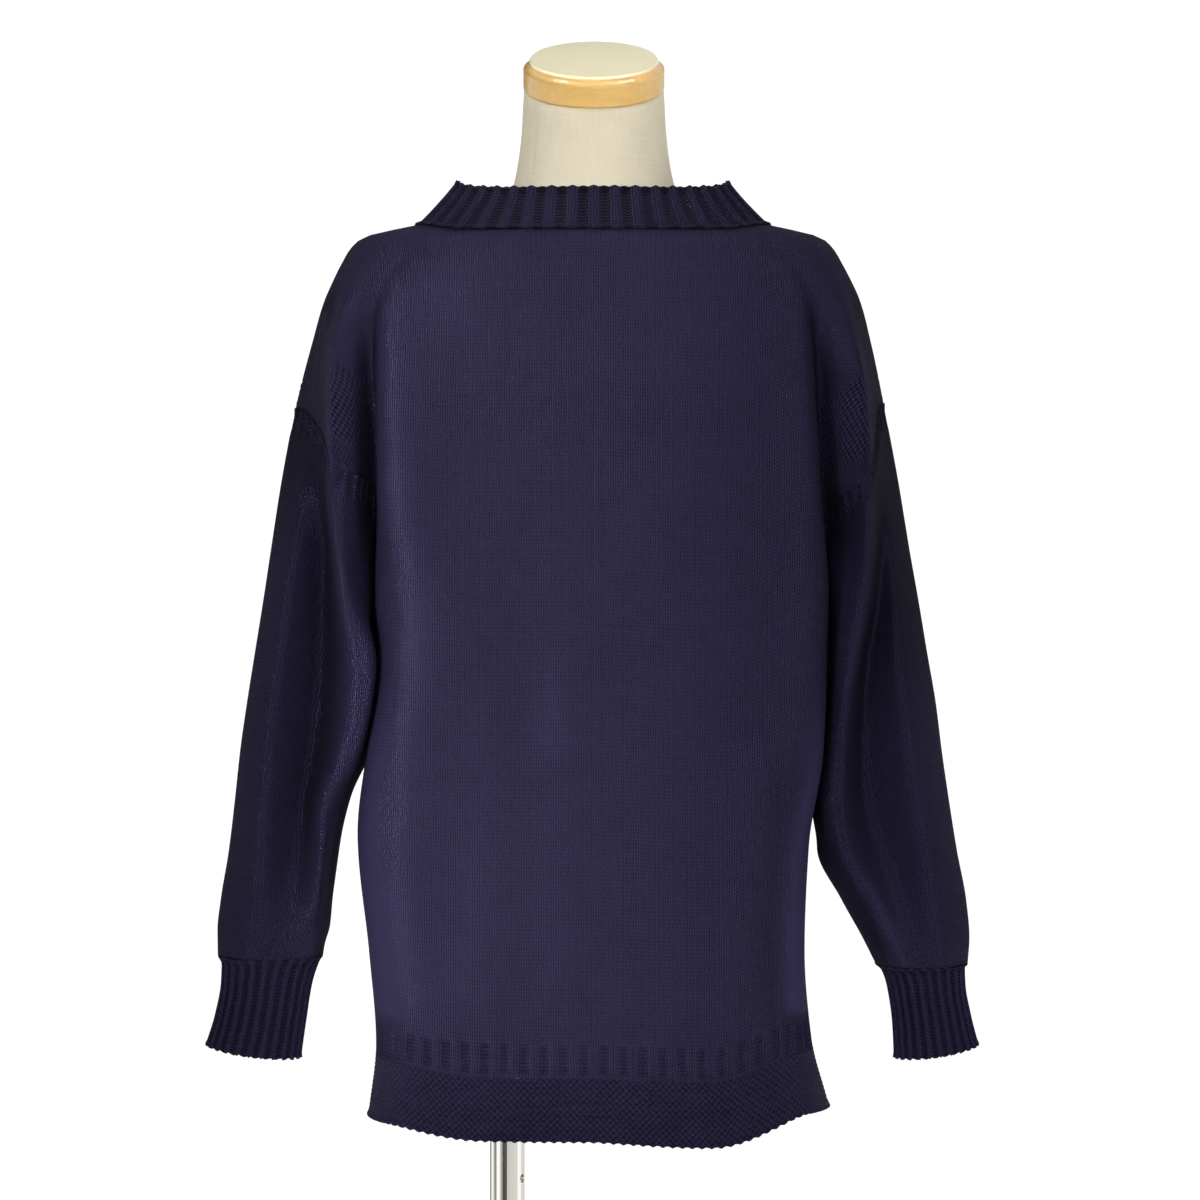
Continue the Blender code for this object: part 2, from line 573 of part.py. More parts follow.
def add_collar(collection):
    """Ribbed funnel collar, from the neckline up to its bound-off rim."""
    base, rim = [], []
    stations = np.concatenate([BODY_SPREAD, ARM_SPREAD[2:]])
    runs = (("right", "front", stations), ("right", "back", stations[::-1][1:]),
            ("left", "back", stations[1:]), ("left", "front", stations[::-1][1:]))
    for side, face, run in runs:
        neckline = cloth_points(side, face, run, NECK_LEVEL + 0 * run)
        neckline[:, 2] += SEAM_GAP
        base.append(neckline)
        turn = np.pi / 2 * (run / SIDE_STATION) ** COLLAR_FAN
        towards = -1.0 if face == "front" else 1.0
        half_x = COLLAR[side + "_x"] * (1 if side == "right" else -1)
        depth = abs(COLLAR[face + "_y"])
        height = COLLAR["side_level"] + (COLLAR[face + "_level"] - COLLAR["side_level"]) * (
            1 - (1 - np.cos(turn)) ** COLLAR_LEVELLING)
        rim.append(np.stack([half_x * np.sin(turn), towards * depth * np.cos(turn),
                             GARMENT_LIFT + height], axis=-1))
    base, rim = np.concatenate(base), np.concatenate(rim)
    rows = []
    for rise in np.linspace(0.0, 1.0, COLLAR_ROWS):
        row = base + rise * (rim - base)
        row[:, 2] -= COLLAR_BOW * np.sin(np.pi * rise)
        rows.append(row)
    points = np.array(rows)
    points[:, -1] = points[:, 0]
    return loft_wall("collar", [ring_wall(points, KNIT_WALL)], "wool", collection)


def add_form(collection):
    """Torso and neck: oval sections stacked up, closed at both ends."""
    rows = np.array(FORM)
    levels = smooth(np.arange(len(rows)), rows[:, 0],
                    np.linspace(0, len(rows) - 1, FORM_LEVELS))
    turn = np.linspace(0, 2 * np.pi, FORM_SIDES, endpoint=False)
    bm = bmesh.new()
    rings = []
    for level in levels:
        half_x, half_y, centre_y, power = [column(FORM, FORM_COLUMNS, name, level)
                                           for name in FORM_COLUMNS[1:]]
        cos, sin = np.cos(turn), np.sin(turn)
        x = half_x * np.sign(cos) * np.abs(cos) ** (2 / power)
        y = centre_y + half_y * np.sign(sin) * np.abs(sin) ** (2 / power)
        lean = ease(level, 0.345, 0.378) * math.tan(CAP_TILT) * (y - centre_y)
        z = GARMENT_LIFT + level + lean
        rings.append([bm.verts.new(point) for point in zip(x, y, z)])
    for lower, upper in zip(rings, rings[1:]):
        for j in range(FORM_SIDES):
            k = (j + 1) % FORM_SIDES
            bm.faces.new((lower[j], lower[k], upper[k], upper[j]))
    bm.faces.new(rings[0][::-1])
    bm.faces.new(rings[-1])
    mesh = bpy.data.meshes.new("form_torso")
    bm.to_mesh(mesh)
    bm.free()
    return add_object("form_torso", mesh, "linen", collection)


def add_turned(name, profile, finish, collection, steps=48):
    """A turned piece: a profile at +X, top to bottom, swept by a Screw."""
    mesh = bpy.data.meshes.new(name)
    points = [(radius, 0.0, height) for radius, height in profile]
    mesh.from_pydata(points, [(i, i + 1) for i in range(len(points) - 1)], [])
    thing = add_object(name, mesh, finish, collection)
    screw = thing.modifiers.new("turning", "SCREW")
    screw.steps = screw.render_steps = steps
    screw.use_merge_vertices = True
    screw.merge_threshold = 0.00005
    return thing


def add_cap(collection):
    """Turned wooden cap on the neck, tilted forward, with a cove under its face."""
    top = CAP_SIDE + CAP_COVE
    profile = [(0.0, top), (CAP_TOP_RADIUS, top), (CAP_TOP_RADIUS + 0.001, top - 0.0015)]
    for f in (0.25, 0.5, 0.75, 1.0):
        turn = f * math.pi / 2
        profile.append((CAP_TOP_RADIUS + 0.001 + (CAP_RADIUS - CAP_TOP_RADIUS - 0.001)
                        * (1 - math.cos(turn)), top - 0.0015 - (CAP_COVE - 0.0025) * math.sin(turn)))
    profile += [(CAP_RADIUS, CAP_SIDE - 0.001), (CAP_RADIUS, 0.001), (CAP_RADIUS - 0.001, 0.0),
                (0.0, 0.0)]
    cap = add_turned("neck_cap", profile, "beech", collection)
    cap.location = (CAP_CENTRE[0], CAP_CENTRE[1], GARMENT_LIFT + CAP_CENTRE[2] + SEAM_GAP + 0.0001)
    cap.rotation_euler = (CAP_TILT, 0.0, 0.0)
    return cap


def add_pole(collection, cutters):
    """Polished pole with a blind height-setting hole, from the form to the base."""
    top = GARMENT_LIFT + FORM[0][0] - 0.0003
    bottom = BASE_THICKNESS + 0.0003
    profile = [(0.0, top), (POLE_RADIUS, top), (POLE_RADIUS, bottom), (0.0, bottom)]
    pole = add_turned("pole", profile, "chrome", collection)
    pole.location = (POLE_X, 0.0, 0.0)
    bpy.ops.mesh.primitive_cylinder_add(vertices=20, radius=POLE_HOLE_RADIUS, depth=0.008)
    drill = bpy.context.object
    drill.name = "height_hole_drill"
    drill.rotation_euler = (math.pi / 2, 0.0, POLE_HOLE_TURN)
    drill.location = (POLE_X + POLE_RADIUS * math.sin(POLE_HOLE_TURN),
                      -POLE_RADIUS * math.cos(POLE_HOLE_TURN), GARMENT_LIFT + POLE_HOLE_LEVEL)
    for owner in list(drill.users_collection):
        owner.objects.unlink(drill)
    cutters.objects.link(drill)
    drill.hide_render = True
    drill.display_type = "WIRE"
    hole = pole.modifiers.new("height hole", "BOOLEAN")
    hole.operation = "DIFFERENCE"
    hole.object = drill
    return pole


def add_base(collection):
    """Round steel plate with softened edges."""
    edge = 0.0015
    profile = [(0.0, BASE_THICKNESS), (BASE_RADIUS - edge, BASE_THICKNESS),
               (BASE_RADIUS, BASE_THICKNESS - edge), (BASE_RADIUS, edge),
               (BASE_RADIUS - edge, 0.0), (0.0, 0.0)]
    return add_turned("base_plate", profile, "steel", collection, steps=64)


def main():
    for thing in list(bpy.data.objects):
        bpy.data.objects.remove(thing, do_unlink=True)
    parts = bpy.data.collections.new("guernsey_on_dress_form")
    cutters = bpy.data.collections.new("cutters")
    for collection in (parts, cutters):
        bpy.context.scene.collection.children.link(collection)
    for face in ("front", "back"):
        add_panel(face, parts)
        add_welt(face, parts)
    for side in ("left", "right"):
        add_sleeve(side, parts)
        add_cuff(side, parts)
        add_gusset(side, parts)
    add_collar(parts)
    add_form(parts)
    add_cap(parts)
    add_pole(parts, cutters)
    add_base(parts)


main()
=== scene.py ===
# Navy guernsey sweater on a limbless dress form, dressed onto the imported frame.
# Metres, z up. The sweater's front faces -y and the wearer's right sleeve hangs at -x.
import math

import bmesh
import bpy
import numpy as np
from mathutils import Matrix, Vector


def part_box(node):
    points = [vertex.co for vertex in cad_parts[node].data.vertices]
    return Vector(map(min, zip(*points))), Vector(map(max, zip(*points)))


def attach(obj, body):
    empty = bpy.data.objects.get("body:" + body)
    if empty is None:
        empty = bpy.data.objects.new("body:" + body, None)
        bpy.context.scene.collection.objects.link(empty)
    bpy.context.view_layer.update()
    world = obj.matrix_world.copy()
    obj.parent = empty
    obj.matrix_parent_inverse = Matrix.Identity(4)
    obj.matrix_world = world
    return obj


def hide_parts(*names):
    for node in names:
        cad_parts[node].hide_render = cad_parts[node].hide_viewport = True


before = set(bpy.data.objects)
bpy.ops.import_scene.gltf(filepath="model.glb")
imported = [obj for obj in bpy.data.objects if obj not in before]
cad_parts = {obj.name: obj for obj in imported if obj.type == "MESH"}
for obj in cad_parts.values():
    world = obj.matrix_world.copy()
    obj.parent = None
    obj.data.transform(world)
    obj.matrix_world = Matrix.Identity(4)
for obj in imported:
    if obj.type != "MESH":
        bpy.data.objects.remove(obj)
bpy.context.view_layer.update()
bpy.ops.object.select_all(action="DESELECT")
print("frame loaded:", len(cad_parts), "nodes")

# The sweater's middle, from which all its levels are measured.
formFoot = -0.330
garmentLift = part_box("form_torso")[0][2] - formFoot

knit = {
    "wall": 0.0024,
    "weltWall": 0.0028,
    "wale": 0.0035,         # width of one stitch
    "course": 0.0026,       # height of one stitch
    "hem": -0.384,
    "welt": -0.339,
    "neck": 0.266,
    "neckRise": 0.011,
}

# Half sections of the body, from the centre front to the side seam.
# Columns: level, centreY, edgeX, edgeY, seamX, seamY.
bodyShape = {
    "left": [
        (-0.384, -.119, .148, -.090, .166, .000),
        (-0.332, -.118, .143, -.090, .1605, .000),
        (-0.260, -.120, .148, -.092, .1655, .000),
        (-0.170, -.121, .157, -.092, .174, .004),
        (-0.110, -.121, .152, -.096, .167, .004),
        (-0.045, -.121, .1425, -.100, .159, .000),
        (0.000, -.120, .141, -.103, .159, -.034),
        (0.040, -.119, .143, -.105, .1595, -.032),
        (0.085, -.117, .147, -.106, .160, -.030),
        (0.144, -.112, .148, -.100, .160, -.038),
        (0.190, -.104, .1465, -.088, .160, -.056),
        (0.225, -.097, .137, -.079, .156, -.066),
        (0.245, -.092, .118, -.076, .139, -.064),
        (0.258, -.087, .099, -.074, .119, -.060),
        (0.266, -.080, .083, -.066, .103, -.053),
    ],
    "right": [
        (-0.384, -.119, .154, -.090, .173, .000),
        (-0.332, -.118, .145, -.090, .160, .000),
        (-0.260, -.120, .140, -.092, .155, .000),
        (-0.180, -.121, .144, -.096, .158, .006),
        (-0.110, -.121, .157, -.100, .166, .006),
        (-0.040, -.121, .160, -.103, .168, .000),
        (0.000, -.120, .160, -.105, .1695, -.014),
        (0.035, -.119, .158, -.106, .169, -.023),
        (0.085, -.117, .155, -.106, .1675, -.030),
        (0.144, -.112, .151, -.100, .164, -.039),
        (0.190, -.104, .147, -.088, .160, -.056),
        (0.225, -.097, .137, -.079, .155, -.066),
        (0.245, -.092, .118, -.076, .138, -.064),
        (0.258, -.087, .099, -.074, .118, -.060),
        (0.266, -.080, .083, -.066, .102, -.053),
    ],
}

# Half sections of the sleeve and of the dropped shoulder above it.
# Columns: level, then x and y of inner, lobe, ridge, dip, outer and side.
armShape = {
    "left": [
        (-0.262, .2005, .000, .208, -.032, .222, -.044, .239, -.047, .258, -.040, .2782, .000),
        (-0.244, .1985, .002, .199, -.032, .210, -.050, .230, -.047, .254, -.050, .2782, -.002),
        (-0.222, .197, .004, .1965, -.032, .202, -.056, .223, -.044, .248, -.058, .2757, -.004),
        (-0.185, .1945, .006, .192, -.038, .197, -.066, .2165, -.038, .243, -.064, .2694, -.006),
        (-0.148, .186, .008, .184, -.048, .195, -.074, .213, -.034, .240, -.066, .2649, -.006),
        (-0.110, .1765, .008, .1675, -.066, .182, -.080, .206, -.030, .236, -.066, .2608, -.006),
        (-0.075, .172, .004, .159, -.078, .175, -.088, .2015, -.028, .233, -.063, .256, -.004),
        (-0.045, .169, .000, .156, -.079, .1735, -.091, .199, -.026, .229, -.058, .2515, -.002),
        (0.000, .161, -.036, .1665, -.078, .180, -.092, .198, -.026, .224, -.050, .2445, .000),
        (0.040, .1605, -.032, .170, -.074, .184, -.090, .197, -.036, .219, -.044, .2387, .002),
        (0.085, .160, -.030, .1725, -.070, .1885, -.082, .1975, -.052, .2155, -.034, .232, .004),
        (0.144, .160, -.038, .174, -.067, .1885, -.077, .1965, -.052, .2095, -.022, .2208, .005),
        (0.190, .160, -.056, .173, -.066, .186, -.065, .1925, -.043, .2015, -.018, .209, .005),
        (0.225, .156, -.066, .168, -.062, .1785, -.052, .186, -.034, .193, -.016, .1985, .005),
        (0.245, .139, -.064, .152, -.058, .164, -.048, .174, -.034, .181, -.016, .187, .005),
        (0.258, .119, -.060, .132, -.054, .144, -.046, .156, -.033, .166, -.016, .173, .004),
        (0.266, .103, -.053, .111, -.045, .118, -.035, .124, -.024, .129, -.012, .1325, .003),
    ],
    "right": [
        (-0.268, .208, .000, .213, -.030, .225, -.042, .240, -.046, .258, -.040, .2765, .000),
        (-0.250, .199, .002, .204, -.032, .215, -.048, .234, -.047, .255, -.050, .2775, -.002),
        (-0.222, .1835, .006, .190, -.036, .203, -.056, .224, -.046, .248, -.058, .275, -.004),
        (-0.185, .166, .010, .171, -.042, .184, -.064, .212, -.040, .242, -.064, .2679, -.006),
        (-0.148, .1705, .020, .164, -.046, .179, -.064, .201, -.036, .234, -.066, .262, -.006),
        (-0.110, .1745, .024, .168, -.054, .180, -.072, .198, -.034, .229, -.066, .2565, -.006),
        (-0.075, .1755, .014, .171, -.062, .183, -.080, .198, -.034, .225, -.064, .2523, -.004),
        (-0.040, .1755, .000, .174, -.066, .187, -.086, .2005, -.034, .2215, -.056, .2465, -.002),
        (0.000, .172, -.016, .1775, -.060, .193, -.084, .206, -.042, .2205, -.050, .240, .000),
        (0.035, .170, -.024, .181, -.054, .196, -.084, .2075, -.050, .2185, -.044, .234, .002),
        (0.060, .1685, -.026, .181, -.056, .1965, -.085, .207, -.054, .2165, -.038, .230, .003),
        (0.085, .1675, -.030, .181, -.070, .197, -.086, .2065, -.056, .2145, -.032, .226, .004),
        (0.144, .164, -.039, .179, -.067, .195, -.079, .2015, -.052, .2085, -.022, .215, .005),
        (0.190, .160, -.056, .1725, -.066, .187, -.065, .193, -.043, .200, -.018, .2055, .005),
        (0.225, .155, -.066, .1675, -.062, .179, -.052, .186, -.034, .192, -.016, .196, .005),
        (0.245, .138, -.064, .151, -.058, .163, -.048, .172, -.034, .179, -.016, .184, .005),
        (0.258, .118, -.060, .131, -.054, .143, -.046, .154, -.033, .163, -.016, .170, .004),
        (0.266, .102, -.053, .110, -.045, .117, -.035, .123, -.024, .128, -.012, .131, .003),
    ],
}

armholeLevels = {"left": (0.085, 0.091, 0.101, 0.120, 0.137, 0.143),
                 "right": (0.070, 0.076, 0.090, 0.118, 0.140, 0.147)}
gussetLevels = {"left": (-0.045, 0.000), "right": (-0.040, 0.035)}

# Columns: drop, innerX, outerX, depth, shift, slope.
cuffShape = {
    "left": ((0.000, .2005, .2782, .046, .000, .000),
             (0.006, .2035, .2755, .042, .000, .000),
             (0.022, .2085, .276, .038, .000, .002),
             (0.048, .2125, .280, .036, -.002, .005),
             (0.075, .2162, .2865, .038, -.004, .010)),
    "right": ((0.000, .208, .2765, .045, .000, .000),
              (0.006, .213, .2745, .041, .000, .003),
              (0.020, .2172, .275, .038, .000, .004),
              (0.045, .2205, .279, .036, -.002, .006),
              (0.069, .2215, .284, .0375, -.004, .010)),
}
cuffTurn = (0, 37, 64, 90, 119, 180)

collarShape = {"left": 0.1015, "right": 0.1000, "front": 0.066, "back": 0.060,
               "frontLevel": 0.2985, "sideLevel": 0.3105, "backLevel": 0.3070,
               "fan": (0, 25, 44, 55, 62, 68, 75, 82, 90), "levelling": 1.5, "bow": 0.001}
seamStation = 3         # stations 0 to 3 are the body, 3 to 8 the arm
sideStation = 8

# The back repeats the front, a little smaller and flatter.
backShape = {"width": 0.995, "depth": 0.96, "flatten": 0.005, "flatFrom": 0.09, "flatTo": 0.125}
quarterShape = {"across": 0.56, "towardsEdge": 0.20, "bulge": 0.002}
# How far the hem is drawn up at the body's stations: centre, quarter, corner, side.
hemRise = {"left": (0.0015, 0.002, 0.011, 0.0065), "right": (0.0015, -0.003, 0.018, 0.012)}
armFold = {
    "joined": (0.010, 0.070),       # levels over which the fold becomes one cloth
    "crispness": 0.10,
    "crispIn": (-0.100, -0.020),
    "crispOut": (0.225, 0.262),
    "neckIn": (0.228, 0.268),
    "hemFade": -0.200,
}


def hermite(start, end, startSlope, endSlope, f):
    return ((2 * f**3 - 3 * f**2 + 1) * start + (f**3 - 2 * f**2 + f) * startSlope
            + (3 * f**2 - 2 * f**3) * end + (f**3 - f**2) * endSlope)


# Cubic through the rows of a table, with no overshoot between them.
def smooth(knots, values, at):
    knots = np.asarray(knots, float)
    values = np.asarray(values, float)
    step = np.diff(knots)
    rate = np.diff(values) / step
    slope = np.zeros(len(knots))
    for i in range(1, len(knots) - 1):
        if rate[i - 1] * rate[i] > 0:
            before, after = 2 * step[i] + step[i - 1], step[i] + 2 * step[i - 1]
            slope[i] = (before + after) / (before / rate[i - 1] + after / rate[i])
    slope[0], slope[-1] = rate[0], rate[-1]
    at = np.clip(at, knots[0], knots[-1])
    i = np.clip(np.searchsorted(knots, at) - 1, 0, len(step) - 1)
    return hermite(values[i], values[i + 1], slope[i] * step[i], slope[i + 1] * step[i],
                   (at - knots[i]) / step[i])


# Every column of a table after the first, at a value of the first.
def readTable(table, at):
    first, *others = np.array(table).T
    return [smooth(first, values, at) for values in others]


def ease(value, low, high):
    f = np.clip((value - low) / (high - low), 0.0, 1.0)
    return f * f * (3 - 2 * f)


def between(value, rising, falling):
    return ease(value, *rising) * (1 - ease(value, *falling))


def bell(value, middle, reach):
    return np.exp(-((value - middle) / reach) ** 2)


def turnBack(x, y, face):
    if face == "front":
        return x, y
    flat = backShape["flatten"] * ease(-y, backShape["flatFrom"], backShape["flatTo"])
    return x * backShape["width"], -y * backShape["depth"] - flat


def turnFold(x, y, face):
    if face == "front":
        return x, y
    return x, np.where(y < 0, -y * backShape["depth"], y)


def bodyStations(side, face, level):
    centreY, edgeX, edgeY, seamX, seamY = readTable(bodyShape[side], level)
    part = quarterShape["towardsEdge"]
    quarterY = (1 - part) * centreY + part * edgeY - quarterShape["bulge"]
    pairs = [(0 * level, centreY), (quarterShape["across"] * edgeX, quarterY), (edgeX, edgeY)]
    return [turnBack(x, y, face) for x, y in pairs] + [turnFold(seamX, seamY, face)]


def armStations(side, face, level):
    values = readTable(armShape[side], level)
    pairs = list(zip(values[::2], values[1::2]))
    turned = [turnBack(x, y, face) for x, y in pairs[1:-1]]
    return [turnFold(*pairs[0], face)] + turned + [pairs[-1]]


# The knit's outer face at arrays of stations and levels, before folds and stitches.
def clothPoints(side, face, station, level):
    station, level = np.broadcast_arrays(np.asarray(station, float), np.asarray(level, float))
    other = "back" if face == "front" else "front"
    body = bodyStations(side, face, level)
    arm = armStations(side, face, level)
    bodyOther = bodyStations(side, other, level)
    armOther = armStations(side, other, level)
    joined = ease(level, *armFold["joined"])
    crisp = 1 - armFold["crispness"] * between(level, armFold["crispIn"], armFold["crispOut"])
    points = []
    for axis in (0, 1):
        mirrored = -1.0 if axis == 0 else 1.0
        b = [p[axis] for p in body]
        a = [p[axis] for p in arm]
        bodySlopes = [(b[1] - mirrored * b[1]) / 2, (b[2] - b[0]) / 2, (b[3] - b[1]) / 2,
                      joined * (a[1] - b[2]) / 2 + (1 - joined) * (bodyOther[2][axis] - b[2]) / 2]
        armSlopes = [joined * (a[1] - b[2]) / 2 + (1 - joined) * (a[1] - armOther[1][axis]) / 2]
        armSlopes += [(a[i + 1] - a[i - 1]) / 2 for i in range(1, 5)]
        armSlopes.append((armOther[4][axis] - a[4]) / 2)
        bodySlopes[2] = bodySlopes[2] * crisp
        armSlopes[2] = armSlopes[2] * crisp
        value = np.zeros(station.shape)
        for line, slopes, start in ((b, bodySlopes, 0), (a, armSlopes, seamStation)):
            for i in range(len(line) - 1):
                f = station - start - i
                curve = hermite(line[i], line[i + 1], slopes[i], slopes[i + 1], f)
                value = np.where((f >= 0) & (f <= 1), curve, value)
        points.append(value)
    rise = knit["neckRise"] * ease(level, *armFold["neckIn"])
    if face == "front":
        rise = rise * ease(station, 0.0, sideStation)
    pulled = smooth(np.arange(seamStation + 1.0), hemRise[side], station)
    pulled = pulled * (1 - ease(level, knit["hem"], armFold["hemFade"])) * (station < seamStation)
    sign = -1.0 if side == "left" else 1.0
    return np.stack([sign * points[0], points[1], level + rise + pulled + garmentLift], axis=-1)


def clothNormals(side, face, station, level):
    station, level = np.broadcast_arrays(np.asarray(station, float), np.asarray(level, float))
    onBody = station < seamStation
    low = np.where(onBody, 0.0, seamStation)
    high = np.where(onBody, seamStation - 1e-6, sideStation)
    along = (clothPoints(side, face, np.minimum(station + 0.02, high), level)
             - clothPoints(side, face, np.maximum(station - 0.02, low), level))
    up = clothPoints(side, face, station, level) - clothPoints(side, face, station, level - 0.002)
    return unit(np.cross(along, up)) * (1.0 if (side == "right") == (face == "front") else -1.0)


# On the centre line the normal has no sideways part, so that both halves meet.
def centred(normals):
    normals[:, 0, 0] = 0.0
    return unit(normals)


def unit(vectors):
    return vectors / np.maximum(np.linalg.norm(vectors, axis=-1, keepdims=True), 1e-12)


def seamLevel(side, station):
    stations = np.arange(seamStation, sideStation + 1.0)
    return smooth(stations, armholeLevels[side], np.maximum(station, seamStation))


# Stations spread evenly by the cloth's own length, at one level.
def evenStations(side, face, low, high, spacing, level):
    dense = np.linspace(low, high, 600)
    length = lengthAlong(clothPoints(side, face, np.minimum(dense, high - 1e-6), level), 0)
    count = max(2, int(round(length[-1] / spacing)) + 1)
    return np.interp(np.linspace(0, length[-1], count), length, dense)


def lengthAlong(points, axis):
    step = np.linalg.norm(np.diff(points, axis=axis), axis=-1)
    start = np.zeros_like(np.take(step, [0], axis=axis))
    return np.concatenate([start, np.cumsum(step, axis=axis)], axis=axis)


# Folds listed here: (x0, level0, x1, level1, half width, height), a ridge or, below zero,
# a trough, on the front and on the back.
folds = {
    "front": [
        (-0.012, -0.300, -0.010, -0.090, 0.026, 0.0045),
        (-0.047, 0.020, -0.046, -0.080, 0.022, -0.0026),
        (0.060, -0.290, 0.052, -0.070, 0.026, -0.0030),
        (0.118, -0.285, 0.122, -0.140, 0.016, -0.0050),
        (-0.118, -0.290, -0.105, -0.200, 0.024, -0.0022),
        (-0.120, 0.190, -0.060, 0.120, 0.022, -0.0016),
        (0.120, 0.190, 0.070, 0.110, 0.022, -0.0018),
        (-0.135, 0.060, -0.095, -0.040, 0.020, 0.0016),
        (0.140, 0.030, 0.100, -0.090, 0.020, 0.0016),
    ],
    "back": [
        (-0.070, -0.300, -0.045, -0.040, 0.032, 0.0026),
        (0.020, -0.300, 0.015, -0.060, 0.034, -0.0022),
        (0.090, -0.290, 0.070, 0.020, 0.030, 0.0024),
        (-0.125, 0.180, -0.065, 0.090, 0.024, -0.0020),
        (0.125, 0.170, 0.075, 0.090, 0.024, -0.0020),
        (-0.130, 0.020, -0.080, -0.120, 0.022, 0.0020),
        (0.135, 0.030, 0.090, -0.110, 0.022, 0.0018),
    ],
}


def foldHeight(face, x, level):
    total = np.zeros_like(x)
    for x0, level0, x1, level1, width, height in folds[face]:
        dx, dl = x1 - x0, level1 - level0
        t = np.clip(((x - x0) * dx + (level - level0) * dl) / (dx * dx + dl * dl), 0, 1)
        gap = np.hypot(x - x0 - t * dx, (level - level0 - t * dl) * 0.6)
        total += height * bell(gap, 0.0, width)
    return total


# Two stitches up, two stitches down.
def ribWave(wales):
    return np.tanh(2.0 * np.cos(np.pi * wales / 2)) / np.tanh(2.0)


# A patch is a grid of points with their normals, stitch counts and stitch kinds.
def makePatch(points, normals, u, v, kinds, relief, flip=False):
    return {"points": points + normals * relief[..., None], "u": u, "v": v, "kinds": kinds,
            "flip": flip}


def intoScene(thing):
    bpy.context.scene.collection.objects.link(thing)
    return thing


def mergeCorners(mesh, distance, intoQuads=False):
    work = bmesh.new()
    work.from_mesh(mesh)
    bmesh.ops.remove_doubles(work, verts=work.verts, dist=distance)
    if intoQuads:
        bmesh.ops.join_triangles(work, faces=work.faces, angle_face_threshold=0.7,
                                 angle_shape_threshold=1.2)
    work.to_mesh(mesh)
    work.free()
    mesh.shade_smooth()


def applyModifiers(piece):
    bpy.context.view_layer.objects.active = piece
    piece.select_set(True)
    for modifier in list(piece.modifiers):
        bpy.ops.object.modifier_apply(modifier=modifier.name)
    piece.select_set(False)


def joinPatches(name, patches, wall):
    corners, quads, uvs, kinds, start = [], [], [], [], 0
    for patch in patches:
        rows, columns = patch["u"].shape
        index = start + np.arange(rows * columns).reshape(rows, columns)
        quad = np.stack([index[:-1, :-1], index[:-1, 1:], index[1:, 1:], index[1:, :-1]], axis=-1)
        quad = quad.reshape(-1, 4)
        quads.append(quad[:, ::-1] if patch["flip"] else quad)
        corners.append(patch["points"].reshape(-1, 3))
        uvs.append(np.stack([patch["u"], patch["v"]], axis=-1).reshape(-1, 2))
        kinds.append(patch["kinds"].reshape(-1, 4))
        start += rows * columns
    corners, quads, uvs, kinds = [np.concatenate(part) for part in (corners, quads, uvs, kinds)]
    mesh = bpy.data.meshes.new(name)
    mesh.from_pydata(corners.tolist(), [], quads.tolist())
    layer = mesh.uv_layers.new(name="stitches")
    loops = np.zeros(len(mesh.loops), dtype=np.int32)
    mesh.loops.foreach_get("vertex_index", loops)
    layer.data.foreach_set("uv", uvs[loops].ravel())
    marks = mesh.color_attributes.new("kinds", "FLOAT_COLOR", "CORNER")
    marks.data.foreach_set("color", kinds[loops].ravel())
    mergeCorners(mesh, 2e-5)
    piece = intoScene(bpy.data.objects.new(name, mesh))
    thick = piece.modifiers.new("wall", "SOLIDIFY")
    thick.thickness, thick.offset, thick.use_rim = wall, -1.0, True
    applyModifiers(piece)
    return piece


# Red is purl, green seed stitch, blue garter stitch, alpha one more than the painted shade in a fold,
# below one where a highlight is painted.
def kindsOf(shape, rib=0.0, seed=0.0, garter=0.0, shade=0.0):
    marks = np.ones(shape + (4,))
    marks[..., 0], marks[..., 1], marks[..., 2], marks[..., 3] = rib, seed, garter, 1 + shade
    return marks


# Painted shade in the wool: station and reach, the levels where each comes in and goes out, strength.
paintedShadeMarks = {
    "both": [
        (3.0, 0.32, (-0.10, 0.00), (0.19, 0.24), 1.0),          # painted shade where the cloth folds in at the armhole
        (5.85, 0.50, (-0.24, -0.13), (0.13, 0.20), 1.0),        # painted shade down the sleeve's trough
    ],
    "left": [],
    "right": [
        (4.2, 0.9, (-0.275, -0.245), (-0.09, -0.03), 0.8),      # painted shade on the lobe's face
        (1.8, 0.30, (-0.34, -0.27), (-0.17, -0.08), 0.55),      # painted shade in the dent above the hem
    ],
}
# Painted shade in the hollow of the right armhole.
armholeShade = {"station": (3.7, 0.8), "level": (0.055, 0.026), "strength": 1.2}
# Painted shade darkening the outer sides of the sleeves and shoulders.
flankShade = {"stations": (5.9, 6.7), "start": {"left": 0.00, "right": -0.12}, "rise": 0.13,
              "out": (0.215, 0.245)}
# Painted highlight: paler wool on the body's lower side edges and along one crease of each sleeve.
paintedHighlight = {"stations": (1.70, 2.15), "in": (-0.314, -0.300), "out": (-0.16, -0.04),
             "strength": {"left": 1.0, "right": 2.3},
             "crease": {"left": (4.3, 0.50, 0.02), "right": (5.2, 0.22, -0.16)},
             "creaseFade": 0.06, "creaseStrength": 0.7}


